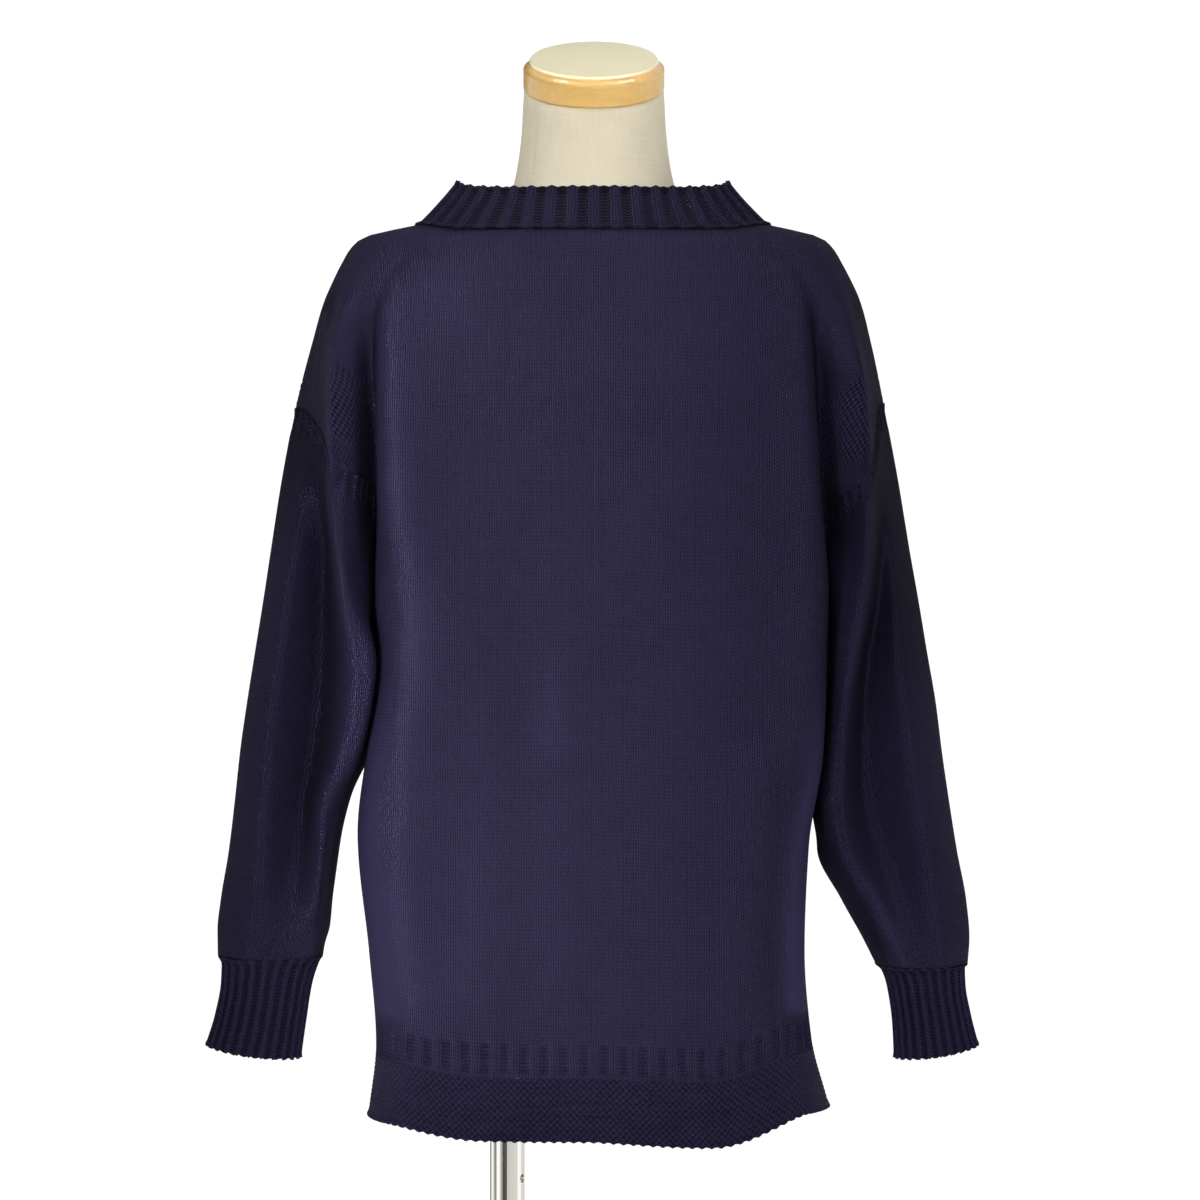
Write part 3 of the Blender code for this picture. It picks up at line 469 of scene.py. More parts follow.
# Above zero, painted shade darkens the wool in its folds; below zero, a painted highlight makes it
# paler.
def foldShade(side, station, level):
    shade = np.zeros(np.broadcast(station, level).shape)
    for place, reach, rising, falling, strength in paintedShadeMarks["both"] + paintedShadeMarks[side]:
        shade = shade + strength * bell(station, place, reach) * between(level, rising, falling)
    if side == "right":
        pocket = bell(station, *armholeShade["station"]) * bell(level, *armholeShade["level"])
        shade = shade + armholeShade["strength"] * pocket
    start = flankShade["start"][side]
    flank = between(level, (start, start + flankShade["rise"]), flankShade["out"])
    shade = np.clip(shade + flank * ease(station, *flankShade["stations"]), 0, 1)
    highlight = ease(station, *paintedHighlight["stations"]) * (station < seamStation)
    highlight = highlight * between(level, paintedHighlight["in"], paintedHighlight["out"]) * paintedHighlight["strength"][side]
    place, reach, top = paintedHighlight["crease"][side]
    crease = bell(station, place, reach) * (1 - ease(level, top - paintedHighlight["creaseFade"], top))
    return shade - np.maximum(highlight, crease * paintedHighlight["creaseStrength"])


panelGrid = {
    "rib": knit["wale"] * 4 / 6, "arm": 0.0028, "bandRows": 16, "rows": 100, "yokeRows": 48,
    "bandTop": -0.314, "ribDepth": 0.0026, "bandIn": (0.0005, 0.0045), "bandOut": (-0.0015, 0.001),
    "shoulder": (0.165, 0.262), "turnedWales": 2.5,     # wales lost where the shoulder slopes
    "armOnly": (2.9, 3.1),
    "seedIn": (0.018, 0.021), "seedOut": (0.070, 0.078),
    "linedIn": (0.001, 0.003), "lineHeight": 0.0004, "linePitch": 0.0042,
    "seamGap": 0.0003, "weltGap": 0.00005,
}


def edgeCurl(distance, reach, height):
    return height * bell(distance, 0.0, reach)


def buildPanel(face):
    patches = []
    for side in ("left", "right"):
        start = armholeLevels[side][0]
        bodySpread = evenStations(side, face, 0.0, seamStation, panelGrid["rib"], -0.33)
        armSpread = evenStations(side, face, seamStation, sideStation, panelGrid["arm"], 0.15)
        bottom = knit["welt"] + panelGrid["weltGap"]
        band = np.linspace(bottom, panelGrid["bandTop"], panelGrid["bandRows"])
        upper = np.linspace(panelGrid["bandTop"], start, panelGrid["rows"])[1:]
        lowLevels = np.concatenate([band, upper])
        runs = [(bodySpread, np.repeat(lowLevels[:, None], len(bodySpread), axis=1))]
        stations = np.concatenate([bodySpread, armSpread[1:]])
        above = seamLevel(side, stations) + panelGrid["seamGap"]
        seam = np.where(stations <= seamStation, start, above)
        rise = np.linspace(0, 1, panelGrid["yokeRows"])[:, None] ** 1.15
        runs.append((stations, seam + rise * (knit["neck"] - seam)))
        vStart = None
        for stationRow, levels in runs:
            station = np.minimum(stationRow, sideStation - 0.0001)[None, :]
            station = np.where(stationRow == seamStation, seamStation - 1e-6, station)
            points = clothPoints(side, face, station, levels)
            normals = centred(clothNormals(side, face, station, levels))
            across = lengthAlong(points, 1) / knit["wale"]
            shoulder = ease(levels, *panelGrid["shoulder"]) * ease(station, 1.2, 3.2)
            u = (across - panelGrid["turnedWales"] * shoulder) * (-1 if side == "left" else 1)
            v = lengthAlong(points, 0) / knit["course"]
            if vStart is not None:
                extra = (seam[len(vStart):] - start) / knit["course"]
                v = v + np.concatenate([vStart, vStart[-1] + extra])[None, :]
            vStart = v[-1]
            inBand = 1 - ease(levels - panelGrid["bandTop"], *panelGrid["bandOut"])
            inBand = inBand * ease(levels - knit["welt"], *panelGrid["bandIn"])
            relief = panelGrid["ribDepth"] * (0.5 * ribWave(u) - 0.5) * inBand
            relief += foldHeight(face, points[..., 0], levels) * ease(seamStation - station, 0.0, 0.8)
            toSeam = levels - seamLevel(side, station)
            onArm = ease(station, *panelGrid["armOnly"])
            seed = onArm * between(toSeam, panelGrid["seedIn"], panelGrid["seedOut"])
            lined = onArm * between(toSeam, panelGrid["linedIn"], panelGrid["seedIn"])
            line = np.cos(2 * np.pi * toSeam / panelGrid["linePitch"])
            relief += lined * panelGrid["lineHeight"] * line
            purl = inBand * (ribWave(u) < -0.2) * 0.8
            kinds = kindsOf(levels.shape, seed=seed, rib=purl, garter=lined,
                            shade=foldShade(side, station, levels))
            flip = (side == "left") == (face == "front")
            patch = makePatch(points, normals, u, v, kinds, relief, flip)
            if side == "right":
                patch["points"][:, 0] = patches[-2]["points"][:, 0]
            patches.append(patch)
    return joinPatches(face + "Panel", patches, knit["wall"])


weltGrid = {"rows": 68, "ridge": 0.0034, "height": 0.00016, "vent": 0.06,
            "edge": (0.0022, 0.0008), "scallop": (0.0016, 0.0006)}


def buildWelt(face):
    patches = []
    for side in ("left", "right"):
        spread = evenStations(side, face, 0.0, seamStation, panelGrid["rib"] / 1.5, -0.36)
        rise = np.linspace(0, 1, weltGrid["rows"])[:, None]
        levels = knit["hem"] + rise * (knit["welt"] - panelGrid["weltGap"] - knit["hem"])
        station = np.minimum(spread[None, :], seamStation - 0.004 - weltGrid["vent"] * (1 - rise))
        levels = np.broadcast_to(levels, station.shape)
        points = clothPoints(side, face, station, levels)
        normals = centred(clothNormals(side, face, station, levels))
        u = lengthAlong(points, 1) / knit["wale"] * (-1 if side == "left" else 1)
        v = lengthAlong(points, 0) / knit["course"]
        height = levels - knit["hem"]
        ridges = weltGrid["height"] * np.cos(2 * np.pi * height / weltGrid["ridge"])
        edge = edgeCurl(height, *weltGrid["edge"]) * (1 + 0.5 * np.cos(np.pi * u))
        flip = (side == "left") == (face == "front")
        kinds = kindsOf(levels.shape, garter=1.0)
        patch = makePatch(points, normals, u, v, kinds, ridges + edge, flip)
        patch["points"][..., 2] -= edgeCurl(height, *weltGrid["scallop"]) * np.cos(np.pi * u)
        if side == "right":
            patch["points"][:, 0] = patches[0]["points"][:, 0]
        patches.append(patch)
    return joinPatches(face + "Welt", patches, knit["weltWall"])


sleeveGrid = {"spacing": 0.0021, "rows": 130, "seamGap": 0.0003, "cuffGap": 0.0002,
              "foldGap": 0.016, "ribs": (0.014, 0.019), "ribDepth": 0.0020, "edge": (0.0022, 0.0014)}


def buildSleeve(side):
    bottom = armShape[side][0][0]
    spread = evenStations(side, "front", seamStation, sideStation, sleeveGrid["spacing"], -0.05)
    top = seamLevel(side, spread) - sleeveGrid["seamGap"]
    rise = np.linspace(0, 1, sleeveGrid["rows"])[:, None] ** 0.95
    levels = bottom + sleeveGrid["cuffGap"] + rise * (top - bottom)
    closed = levels[:, 0] < gussetLevels[side][0]
    pulled = np.maximum(spread, seamStation + sleeveGrid["foldGap"])[None, :]
    layers = []
    for makeLayer in (clothPoints, clothNormals):
        near, far = [makeLayer(side, face, pulled, levels) for face in ("front", "back")]
        middle = (near[:, 0] + far[:, 0]) / 2
        near[closed, 0] = far[closed, 0] = middle[closed]
        far[:, -1] = near[:, -1]
        layers.append(np.concatenate([near, far[:, ::-1][:, 1:]], axis=1))
    points, normals = layers
    around = lengthAlong(points, 1)
    u = (around - around[:, -1:] / 2) / knit["wale"]
    v = -lengthAlong(points[::-1], 0)[::-1] / knit["course"]
    level = np.concatenate([levels, levels[:, ::-1][:, 1:]], axis=1)
    station = np.concatenate([spread, spread[::-1][1:]])[None, :]
    below = seamLevel(side, station) - level
    ribs = 1 - ease(below, *sleeveGrid["ribs"])
    relief = sleeveGrid["ribDepth"] * (0.5 * ribWave(u) - 0.5) * ribs
    relief += edgeCurl(below - 0.001, *sleeveGrid["edge"])
    kinds = kindsOf(level.shape, rib=ribs * (ribWave(u) < 0), shade=foldShade(side, station, level))
    patch = makePatch(points, normals, u, v, kinds, relief, side == "left")
    return joinPatches(side + "Sleeve", [patch], knit["wall"])


# Purl between the ribs, with painted shade deeper in the gaps than on the ribs' crowns.
def ribKinds(u, shade):
    wave = ribWave(u)
    return kindsOf(u.shape, rib=1.0 * (wave < 0), shade=shade[0] - shade[1] * wave)


# Cuff shade: painted shade in the gaps between ribs, turning to a painted highlight on their crowns.
cuffGrid = {"ribs": 24, "columns": 12, "rows": 46, "ribDepth": 0.0032, "shade": (0.16, 0.36),
            "edge": (0.0022, 0.0007), "scallop": (0.0020, 0.0007)}


def ringNormals(points):
    ring = np.concatenate([points[:, -2:-1], points, points[:, 1:2]], axis=1)
    return unit(np.cross(ring[:, 2:] - ring[:, :-2], np.gradient(points, axis=0)))


def buildCuff(side):
    sign = -1.0 if side == "left" else 1.0
    bottom = armShape[side][0][0]
    length = cuffShape[side][-1][0]
    drops = np.linspace(0.0, length, cuffGrid["rows"])
    ribs = cuffGrid["ribs"]
    count = ribs * cuffGrid["columns"]
    turn = np.linspace(0, 2 * np.pi, count + 1)
    folded = np.where(turn > np.pi, 2 * np.pi - turn, turn)
    station = np.interp(folded, np.radians(cuffTurn), np.arange(seamStation, sideStation + 1.0))
    rings = []
    for drop in drops:
        innerX, outerX, depth, shift, slope = readTable(cuffShape[side], drop)
        acrossX = (innerX + outerX) / 2 - (outerX - innerX) / 2 * np.cos(turn)
        lift = slope * (acrossX - innerX) / (outerX - innerX)
        rings.append(np.stack([sign * acrossX, shift - depth * np.sin(turn),
                               garmentLift + bottom - sleeveGrid["cuffGap"] - drop + lift], axis=-1))
    first = np.where((turn <= np.pi)[:, None], clothPoints(side, "front", station, bottom),
                     clothPoints(side, "back", station, bottom))
    first[:, 2] -= 0.0004
    blend = ease(drops, 0.0, 0.004)[:, None, None]
    points = np.repeat(first[None], len(drops), axis=0)
    points[:, :, 2] -= drops[:, None]
    points = points * (1 - blend) + np.array(rings) * blend
    points[:, -1] = points[:, 0]
    normals = ringNormals(points) * (1 if side == "left" else -1)
    phase = np.linspace(0, ribs, count + 1)[None, :]
    u = np.repeat(phase * 4, len(drops), axis=0)
    v = -np.repeat(drops[:, None], count + 1, axis=1) / knit["course"]
    deep = ease(drops, 0.001, 0.008)[:, None]
    edge = edgeCurl(length - drops[:, None], *cuffGrid["edge"])
    relief = cuffGrid["ribDepth"] * (0.5 * ribWave(u) - 0.5) * deep + edge
    patch = makePatch(points, normals, u, v, ribKinds(u, cuffGrid["shade"]), relief, side == "right")
    knob = edgeCurl(length - drops[:, None], *cuffGrid["scallop"])
    patch["points"][..., 2] -= knob * np.cos(np.pi * u)
    return joinPatches(side + "Cuff", [patch], knit["wall"])


gussetGrid = {"rows": 24, "spans": 17, "from": 0.20, "trim": 0.002, "drop": 0.001, "thin": 0.8}


def buildGusset(side):
    low, high = gussetLevels[side]
    level = low + np.linspace(gussetGrid["from"], 1.0, gussetGrid["rows"]) * (high - low)
    spans = np.linspace(-1, 1, gussetGrid["spans"])
    rows = []
    for station in (seamStation - 1e-6, seamStation):
        near, far = [clothPoints(side, face, station, level) for face in ("front", "back")]
        middle, half = ((near + far) / 2)[:, None], ((far - near) / 2)[:, None]
        length = np.linalg.norm(half, axis=-1, keepdims=True)
        kept = np.maximum(1 - gussetGrid["trim"] / length, 0.05)
        grid = middle + spans[None, :, None] * half * kept
        rows.append(grid if station < seamStation else grid[::-1])
    points = np.concatenate([rows[0], (rows[0][-1:] + rows[1][:1]) / 2, rows[1]])
    points[:, :, 2] -= gussetGrid["drop"]
    normals = np.zeros_like(points)
    u = np.repeat(spans[None, :] * 8, len(points), axis=0)
    v = lengthAlong(points, 0) / knit["course"]
    flat = np.zeros(u.shape)
    patch = makePatch(points, normals, u, v, kindsOf(u.shape), flat, side == "right")
    return joinPatches(side + "Gusset", [patch], knit["wall"] * gussetGrid["thin"])


# Collar shade: painted shade over the whole collar, deepest in the gaps between ribs.
collarGrid = {"ribs": 38, "columns": 10, "rows": 30, "ribDepth": 0.0038, "shade": (0.98, 0.35),
              "seamEdge": (0.0016, 0.0012), "rimEdge": (0.0022, 0.0009), "scallop": (0.0020, 0.0005)}


def buildCollar():
    runs = (("right", "front", 1), ("right", "back", -1), ("left", "back", 1), ("left", "front", -1))
    base, rim = [], []
    for number, (side, face, direction) in enumerate(runs):
        spread = np.linspace(0, sideStation, 400)[::direction]
        run = spread if number == 0 else spread[1:]
        neckline = clothPoints(side, face, np.where(run == seamStation, run - 1e-6, run),
                               knit["neck"] + 0 * run)
        base.append(neckline)
        turn = np.radians(np.interp(run, np.arange(sideStation + 1), collarShape["fan"]))
        towards = -1.0 if face == "front" else 1.0
        halfX = collarShape[side] * (1 if side == "right" else -1)
        low, high = collarShape["sideLevel"], collarShape[face + "Level"]
        height = low + (high - low) * (1 - (1 - np.cos(turn)) ** collarShape["levelling"])
        rim.append(np.stack([halfX * np.sin(turn), towards * collarShape[face] * np.cos(turn),
                             garmentLift + height], axis=-1))
    base, rim = np.concatenate(base), np.concatenate(rim)
    base[:, 2] += panelGrid["seamGap"]
    rim[-1], base[-1] = rim[0], base[0]
    length = lengthAlong((base + rim) / 2, 0)
    count = collarGrid["ribs"] * collarGrid["columns"]
    even = np.linspace(0, length[-1], count + 1)
    base, rim = [np.transpose([np.interp(even, length, values) for values in line.T])
                 for line in (base, rim)]
    rise = np.linspace(0, 1, collarGrid["rows"])[:, None]
    points = base[None] + rise[..., None] * (rim - base)[None]
    points[..., 2] -= collarShape["bow"] * np.sin(np.pi * rise)
    points[:, -1] = points[:, 0]
    normals = ringNormals(points)
    u = np.repeat(np.linspace(0, collarGrid["ribs"] * 4, count + 1)[None, :], len(rise), axis=0)
    tall = lengthAlong(points, 0)
    v = tall / knit["course"]
    toRim = tall[-1:] - tall
    deep = ease(tall, 0.002, 0.006) * (0.35 + 0.65 * ease(toRim, 0.0, 0.004))
    relief = collarGrid["ribDepth"] * (0.5 * ribWave(u) - 0.5) * deep
    relief += edgeCurl(tall - 0.0015, *collarGrid["seamEdge"])
    relief += edgeCurl(toRim, *collarGrid["rimEdge"])
    patch = makePatch(points, normals, u, v, ribKinds(u, collarGrid["shade"]), relief)
    patch["points"][..., 2] += edgeCurl(toRim, *collarGrid["scallop"]) * np.cos(np.pi * u)
    return joinPatches("collar", [patch], knit["wall"])


pieces = {}
for face in ("front", "back"):
    pieces[face + "_panel"] = buildPanel(face)
    pieces[face + "_welt"] = buildWelt(face)
for side in ("left", "right"):
    pieces[side + "_sleeve"] = buildSleeve(side)
    pieces[side + "_cuff"] = buildCuff(side)
    pieces[side + "_gusset"] = buildGusset(side)
pieces["collar"] = buildCollar()
for node, piece in pieces.items():
    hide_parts(node)
    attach(piece, "root")
    faces = sum(len(f.vertices) - 2 for f in piece.data.polygons)
    print("knitted", piece.name, faces, "triangles")


# Shader maths: a socket that adds its own Math nodes.
class Wire:
    def __init__(self, sheet, socket):
        self.sheet, self.socket = sheet, socket

    def math(self, operation, *others):
        values = [self] + list(others)
        return self.sheet.node("ShaderNodeMath", {"operation": operation},
                               dict(enumerate(values)))

    def clamped(self):
        return self.math("MINIMUM", 1.0).math("MAXIMUM", 0.0)

    def __add__(self, other):
        return self.math("ADD", other)

    def __sub__(self, other):
        return self.math("SUBTRACT", other)

    def __mul__(self, other):
        return self.math("MULTIPLY", other)

    __radd__, __rmul__ = __add__, __mul__

    def __truediv__(self, other):
        return self.math("DIVIDE", other)

    def __pow__(self, other):
        return self.math("POWER", other)

    def __rsub__(self, other):
        return self.sheet.node("ShaderNodeMath", {"operation": "SUBTRACT"}, {0: other, 1: self})


class Nodes:
    def __init__(self, tree):
        self.tree = tree

    # Any node: its type, its settings, then values or wires for its sockets.
    def node(self, kind, settings=None, inputs=None, output=0):
        made = self.tree.nodes.new(kind)
        for key, value in (settings or {}).items():
            if key == "stops":
                ramp = made.color_ramp
                for element, (place, shade) in zip(ramp.elements, (value[0], value[-1])):
                    element.position, element.color = place, (*shade, 1)
                for place, shade in value[1:-1]:
                    ramp.elements.new(place).color = (*shade, 1)
            else:
                setattr(made, key, value)
        for key, value in (inputs or {}).items():
            self.plug(made.inputs[key], value)
        return Wire(self, made.outputs[output])

    def plug(self, socket, value):
        if isinstance(value, Wire):
            self.tree.links.new(value.socket, socket)
        elif isinstance(value, tuple) and len(value) == 3 and socket.type == "RGBA":
            socket.default_value = (*value, 1)
        else:
            socket.default_value = value

    def mix(self, factor, first, second):
        return self.node("ShaderNodeMix", {"data_type": "RGBA"}, {0: factor, 6: first, 7: second}, 2)

    def join(self, x, y):
        return self.node("ShaderNodeCombineXYZ", {}, {0: x, 1: y})

    def split(self, vector):
        made = self.node("ShaderNodeSeparateXYZ", {}, {0: vector}).socket.node
        return [Wire(self, out) for out in made.outputs]

    def noise(self, vector, scale, detail=2.0, roughness=0.5):
        return self.node("ShaderNodeTexNoise", {}, {"Vector": vector, "Scale": scale,
                                                    "Detail": detail, "Roughness": roughness})

    # Noise drawn out along the axes where its scale is small.
    def grain(self, vector, scale, detail=2.0, roughness=0.5):
        drawn = self.node("ShaderNodeMapping", {}, {"Vector": vector, "Scale": scale})
        return self.noise(drawn, 1.0, detail, roughness)


class Finish(Nodes):
    def __init__(self, name, colour, roughness, metallic=0.0):
        self.material = bpy.data.materials.new(name)
        self.material.use_nodes = True
        self.material.diffuse_color = (*colour, 1)
        super().__init__(self.material.node_tree)
        self.shader = self.tree.nodes["Principled BSDF"]
        self.set(Base_Color=colour, Roughness=roughness, Metallic=metallic)

    def set(self, **values):
        for name, value in values.items():
            self.plug(self.shader.inputs[name.replace("_", " ")], value)

    def bump(self, height, distance, strength=1.0):
        self.set(Normal=self.node("ShaderNodeBump", {}, {"Height": height, "Distance": distance,
                                                         "Strength": strength}))


# The dark colour is painted shade in the gaps between stitches, the folded colour painted shade in
# folds, and the pale violet colour a painted highlight.
woolFinish = {
    "dark": (0.0055, 0.0046, 0.0085), "light": (0.0520, 0.0400, 0.117),
    "folded": (0.004, 0.0035, 0.005), "foldShade": 0.78,
    "highlightColour": (0.105, 0.083, 0.235), "highlightStrength": 0.50,
    "roughness": 0.95, "sheen": 0.13, "sheenTint": (0.42, 0.36, 0.80),
    "stitchHeight": 0.0036,
    "contrast": 2.20, "darkest": 0.70,      # painted shade: how much darker the stitch gaps are than the tops
    "fuzz": 0.7, "wander": 0.25, "blotch": 0.5, "streak": 0.35,
}


def makeWool():
    wool = Finish("navyWool", woolFinish["light"], woolFinish["roughness"])
    u, v = wool.split(wool.node("ShaderNodeUVMap", {"uv_map": "stitches"}))[:2]
    purl, seed, garter = wool.split(wool.node("ShaderNodeAttribute", {"attribute_name": "kinds"}))
    shade = wool.node("ShaderNodeAttribute", {"attribute_name": "kinds"}, output="Alpha") - 1.0
    place = wool.node("ShaderNodeTexCoord", output="Object")
    tau = 2 * math.pi
    u = u + (wool.noise(place, 260.0, 1.0) - 0.5) * woolFinish["wander"]
    aside = (u.math("FRACT") - 0.5).math("ABSOLUTE")            # 0 mid-wale, 0.5 between wales
    legs = (aside * tau).math("SINE").math("MAXIMUM", 0.0) ** 0.7
    loops = ((v - aside * 1.2) * math.pi).math("SINE").math("ABSOLUTE") ** 0.6
    plain = legs * (loops * 0.55 + 0.45)
    arcs = (v * math.pi + (u * tau).math("SINE") * 0.5).math("SINE").math("ABSOLUTE")
    purled = arcs * 0.42 + 0.20
    dots = (u * math.pi).math("COSINE") * (v * math.pi).math("COSINE") * 0.36 + 0.5
    beads = (u * (math.pi * 1.5)).math("COSINE") * (v * (math.pi * 1.1)).math("COSINE") * 0.14 + 0.49
    height = plain
    for kind, stitch in ((purl, purled), (seed, dots), (garter, beads)):
        height = height + (stitch - height) * kind
    height = height + (wool.noise(place, 900.0, 3.0, 0.7) - 0.5) * woolFinish["fuzz"]
    blotch = wool.noise(place, 14.0, 4.0, 0.6) * 0.5 + wool.noise(place, 60.0, 2.0) * 0.5
    streak = wool.noise(wool.join(u * 0.06, v * 0.8), 1.0, 2.0)
    # Painted shade between stitches: the lower the stitch height, the darker the colour, with tone
    # that also differs at random.
    depth = height * woolFinish["contrast"] - woolFinish["darkest"]
    depth = depth + (blotch - 0.5) * woolFinish["blotch"] + (streak - 0.5) * woolFinish["streak"]
    colour = wool.mix(depth.clamped(), woolFinish["dark"], woolFinish["light"])
    # Painted shade in the folds and a painted highlight on edges and creases, read from the
    # attribute's alpha.
    deep = (shade * woolFinish["foldShade"]).math("MAXIMUM", 0.0)
    highlight = (shade * -woolFinish["highlightStrength"]).math("MAXIMUM", 0.0)
    colour = wool.mix(deep, colour, woolFinish["folded"])
    wool.set(Base_Color=wool.mix(highlight, colour, woolFinish["highlightColour"]))
    wool.bump(height, woolFinish["stitchHeight"])
    wool.set(Sheen_Weight=woolFinish["sheen"], Sheen_Roughness=0.35,
             Sheen_Tint=woolFinish["sheenTint"], Specular_IOR_Level=0.08)
    return wool.material


def dress(piece, material):
    piece.data.materials.clear()
    piece.data.materials.append(material)


woolMaterial = makeWool()
for piece in pieces.values():
    dress(piece, woolMaterial)
print("wool finished")


linenFinish = {"dark": (0.56, 0.49, 0.34), "pale": (0.72, 0.67, 0.53), "roughness": 0.92,
               "thread": 0.0009, "turnRadius": 0.058, "relief": 0.0004}


def makeLinen():
    linen = Finish("naturalLinen", (0.66, 0.60, 0.45), linenFinish["roughness"])
    place = linen.node("ShaderNodeTexCoord", output="Object")
    x, y, z = linen.split(place)
    turn = y.math("ARCTAN2", x) * linenFinish["turnRadius"]
    pitch = 2 * math.pi / linenFinish["thread"]
    warp, weft = (turn * pitch).math("SINE"), (z * pitch).math("SINE")
    slubs = linen.noise(linen.join(turn * 500.0, z * 60.0), 1.0, 2.0)
    slubs = slubs + linen.noise(linen.join(turn * 50.0, z * 600.0), 1.0)
    threads = warp * weft * 0.25 + 0.5 + (slubs - 1.0) * 0.8
    tone = (threads * 0.5 + linen.noise(place, 30.0, 3.0) * 0.5).math("MINIMUM", 1.0)
    linen.set(Base_Color=linen.mix(tone, linenFinish["dark"], linenFinish["pale"]))
    linen.bump(threads, linenFinish["relief"], 0.7)
    linen.set(Sheen_Weight=0.05, Specular_IOR_Level=0.3)
    return linen.material


beechFinish = {
    "grain": [(0.25, (0.63, 0.38, 0.110)), (0.50, (0.72, 0.455, 0.145)), (0.78, (0.77, 0.54, 0.21))],
    # The top colour is a painted highlight on the cap's top face.
    "top": (1.0, 0.93, 0.62), "topHighlightShare": 0.9, "topLevel": 0.0200,
    "tilt": 25, "foot": 0.378, "footY": -0.004,     # where the cap sits, and how it slopes
    "roughness": 0.32, "coat": 0.4,
}


def makeBeech():
    beech = Finish("honeyBeech", (0.75, 0.48, 0.18), beechFinish["roughness"])
    place = beech.node("ShaderNodeTexCoord", output="Object")
    grain = beech.grain(place, (14, 160, 160), 4.0, 0.6)
    tone = grain * 0.7 + beech.grain(place, (60, 500, 500)) * 0.3
    x, y, z = beech.split(place)
    tilt = math.radians(beechFinish["tilt"])
    up = z - (garmentLift + beechFinish["foot"])
    height = up * math.cos(tilt) - (y - beechFinish["footY"]) * math.sin(tilt)
    # Painted highlight: the cap's top face is paler than its turned side.
    top = ((height - beechFinish["topLevel"]) * 900.0).clamped()
    honey = beech.node("ShaderNodeValToRGB", {"stops": beechFinish["grain"]}, {"Fac": tone})
    beech.set(Base_Color=beech.mix(top * beechFinish["topHighlightShare"], honey, beechFinish["top"]))
    beech.bump(grain, 0.0002, 0.3)
    beech.set(Coat_Weight=beechFinish["coat"], Coat_Roughness=0.25)
    return beech.material


metalFinish = {
    "polishedTube": {"colour": (0.90, 0.88, 0.82), "roughness": 0.06, "rub": 0.10,
                     "scale": (900, 900, 8), "detail": 2.0, "relief": 0.0},
    "satinSteel": {"colour": (0.62, 0.61, 0.58), "roughness": 0.22, "rub": 0.25,
                   "scale": (25, 900, 25), "detail": 3.0, "relief": 0.0002},
}


def makeMetal(name):
    look = metalFinish[name]
    metal = Finish(name, look["colour"], look["roughness"], 1.0)
    rub = metal.grain(metal.node("ShaderNodeTexCoord", output="Object"), look["scale"], look["detail"])
    metal.set(Roughness=rub * look["rub"] + look["roughness"])
    if look["relief"]:
        metal.bump(rub, look["relief"], 0.25)
    return metal.material


# The padded form, rounded off between the faces of its solid.
def roundForm(source):
    piece = intoScene(source.copy())
    piece.name, piece.data = "linenForm", source.data.copy()
    mergeCorners(piece.data, 1e-5, intoQuads=True)
    soft = piece.modifiers.new("round", "SUBSURF")
    soft.levels = soft.render_levels = 2
    applyModifiers(piece)
    piece.data.shade_smooth()
    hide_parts("form_torso")
    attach(piece, "root")
    return piece


nodeObjects = {thing.name: thing for thing in bpy.data.objects if thing.type == "MESH"}
nodeObjects["linenForm"] = roundForm(nodeObjects["form_torso"])
for node, material in (("linenForm", makeLinen()), ("neck_cap", makeBeech()),
                       ("pole", makeMetal("polishedTube")), ("base_plate", makeMetal("satinSteel"))):
    dress(nodeObjects[node], material)
print("stand finished")


# Studio: a pale floor, a white room and soft lights from the front.
studio = {
    "floorRadius": 0.95, "floorFade": (0.30, 0.90), "floorGlow": 0.5,
    "backdrop": 1.05,
    "roomLight": (0.0, 0.75, 0.05, 1.15),       # dim in front, bright behind the form
    # Seen in polished metal, from left to right: place and strength.
    "mirrored": [(0.0, 0.0), (0.03, 1.1), (0.17, 1.0), (0.20, 0.06), (0.47, 0.06), (0.50, 0.62),
                 (0.95, 0.72), (0.99, 1.1), (1.0, 1.0)],
    "distance": 2.55, "frameWidth": 0.888, "cameraX": 0.0045,
}
# Each light: place, aim, size, power, spread in degrees. Heights are from the sweater's middle.
softboxes = {
    "bodyBeam": ((-0.62, -1.60, 0.0), (-0.04, -0.08, -0.025), (0.28, 0.62), 0.54, 9),
    "frontSoftbox": ((0.25, -2.2, 0.4), (0, 0, 0), (2.0, 1.6), 31.0, 180),
    "leftNeckLamp": ((-1.1, -0.9, 0.75), (0, 0, 0.365), (0.26, 0.13), 0.072, 10),
    "rightNeckLamp": ((1.1, -0.9, 0.75), (0, 0, 0.365), (0.26, 0.13), 0.072, 10),
}


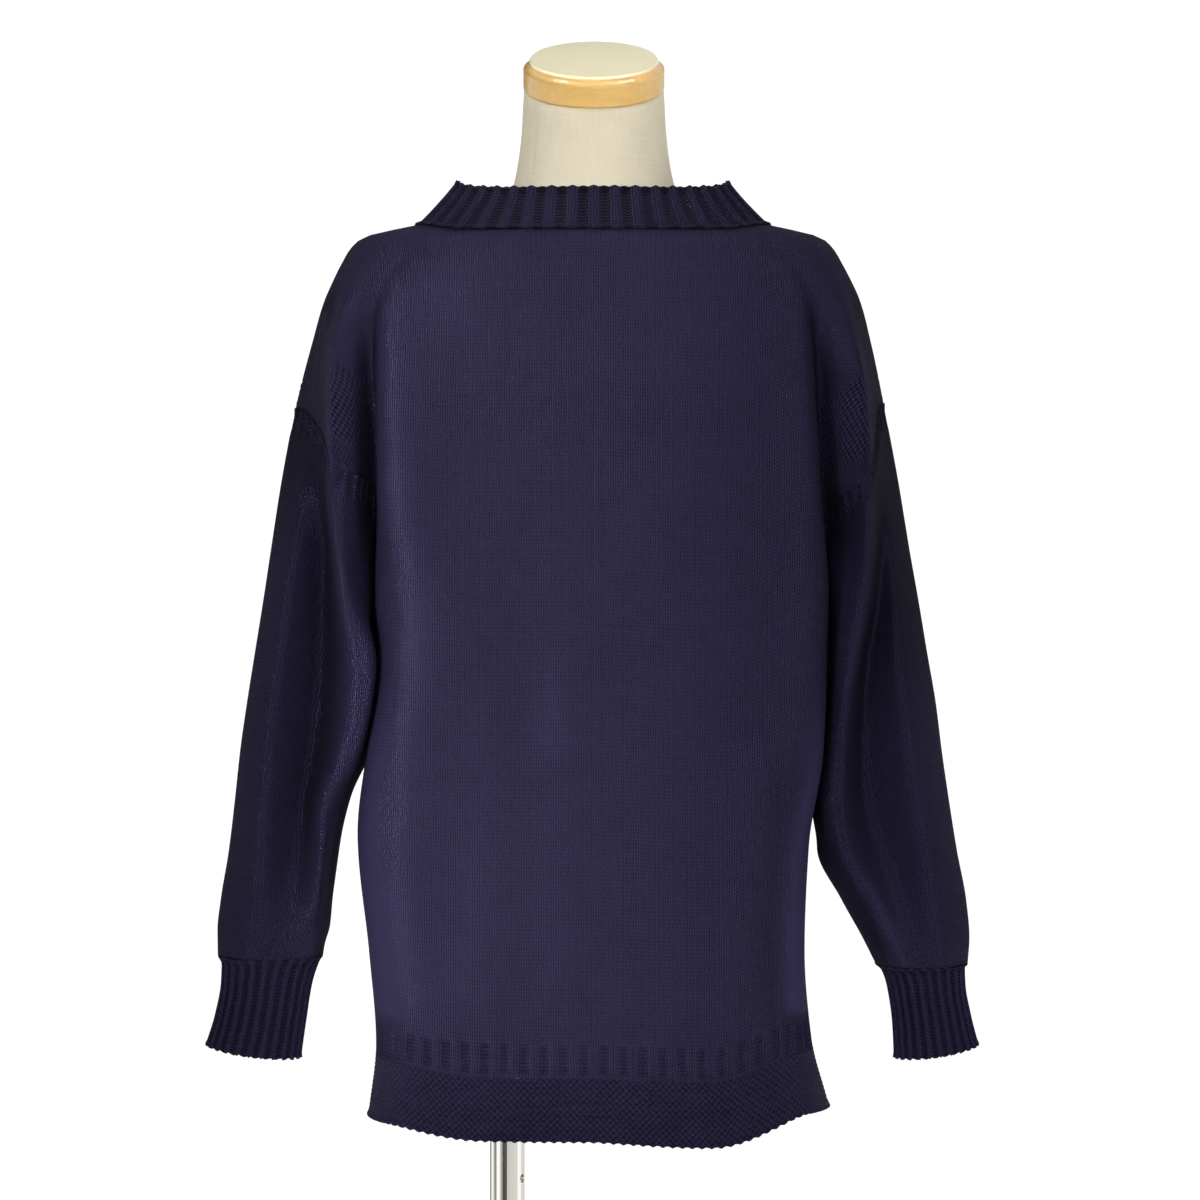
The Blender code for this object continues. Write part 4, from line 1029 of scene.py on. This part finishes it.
def addFloor():
    bpy.ops.mesh.primitive_circle_add(vertices=96, radius=studio["floorRadius"], fill_type="NGON",
                                      location=(0, 0, -0.0005))
    floor = bpy.context.object
    floor.name = "studioFloor"
    pale = Finish("paleFloor", (0.9, 0.9, 0.9), 0.8)
    x, y, z = pale.split(pale.node("ShaderNodeTexCoord", output="Object"))
    radius = (x * x + y * y) ** 0.5
    near, far = studio["floorFade"]
    fade = ((far - radius) / (far - near)).clamped()
    pale.set(Emission_Color=(1.0, 1.0, 1.0), Emission_Strength=studio["floorGlow"], Alpha=fade)
    dress(floor, pale.material)


# White all round to look at, with other strengths as light and in polished metal.
def addRoom():
    world = bpy.data.worlds.new("whiteRoom")
    bpy.context.scene.world = world
    world.use_nodes = True
    room = Nodes(world.node_tree)
    x, y, z = room.split(room.node("ShaderNodeTexCoord"))
    names = ("From Min", "From Max", "To Min", "To Max")
    light = room.node("ShaderNodeMapRange", {"interpolation_type": "SMOOTHSTEP"},
                      {"Value": y, **dict(zip(names, studio["roomLight"]))})
    stops = [(place, (grey,) * 3) for place, grey in studio["mirrored"]]
    mirror = room.node("ShaderNodeValToRGB", {"stops": stops}, {"Fac": x * 0.5 + 0.5})
    mirror.socket.node.color_ramp.interpolation = "EASE"
    glossy = room.node("ShaderNodeLightPath", output="Is Glossy Ray")
    seen = room.node("ShaderNodeLightPath", output="Is Camera Ray")
    light = light + (mirror - light) * glossy
    back = world.node_tree.nodes["Background"]
    back.inputs["Color"].default_value = (1, 1, 1, 1)
    room.plug(back.inputs["Strength"], light + (studio["backdrop"] - light) * seen)


def addSoftbox(name, place, aim, size, power, spread):
    light = bpy.data.lights.new(name, "AREA")
    light.shape, light.size, light.size_y, light.energy = "RECTANGLE", size[0], size[1], power
    light.spread = math.radians(spread)
    lamp = intoScene(bpy.data.objects.new(name, light))
    lamp.location = Vector(place) + Vector((0, 0, garmentLift))
    turn = (Vector(aim) - Vector(place)).to_track_quat("-Z", "Y")
    lamp.rotation_euler = turn.to_euler()


addFloor()
addRoom()
for name, light in softboxes.items():
    addSoftbox(name, *light)

camera = intoScene(bpy.data.objects.new("camera", bpy.data.cameras.new("camera")))
camera.location = (studio["cameraX"], -studio["distance"], garmentLift)
camera.rotation_euler = (math.pi / 2, 0, 0)
camera.data.sensor_width = 36.0
camera.data.lens = camera.data.sensor_width * studio["distance"] / studio["frameWidth"]
bpy.context.scene.camera = camera
bpy.context.scene.view_settings.view_transform = "Standard"
print("studio ready")
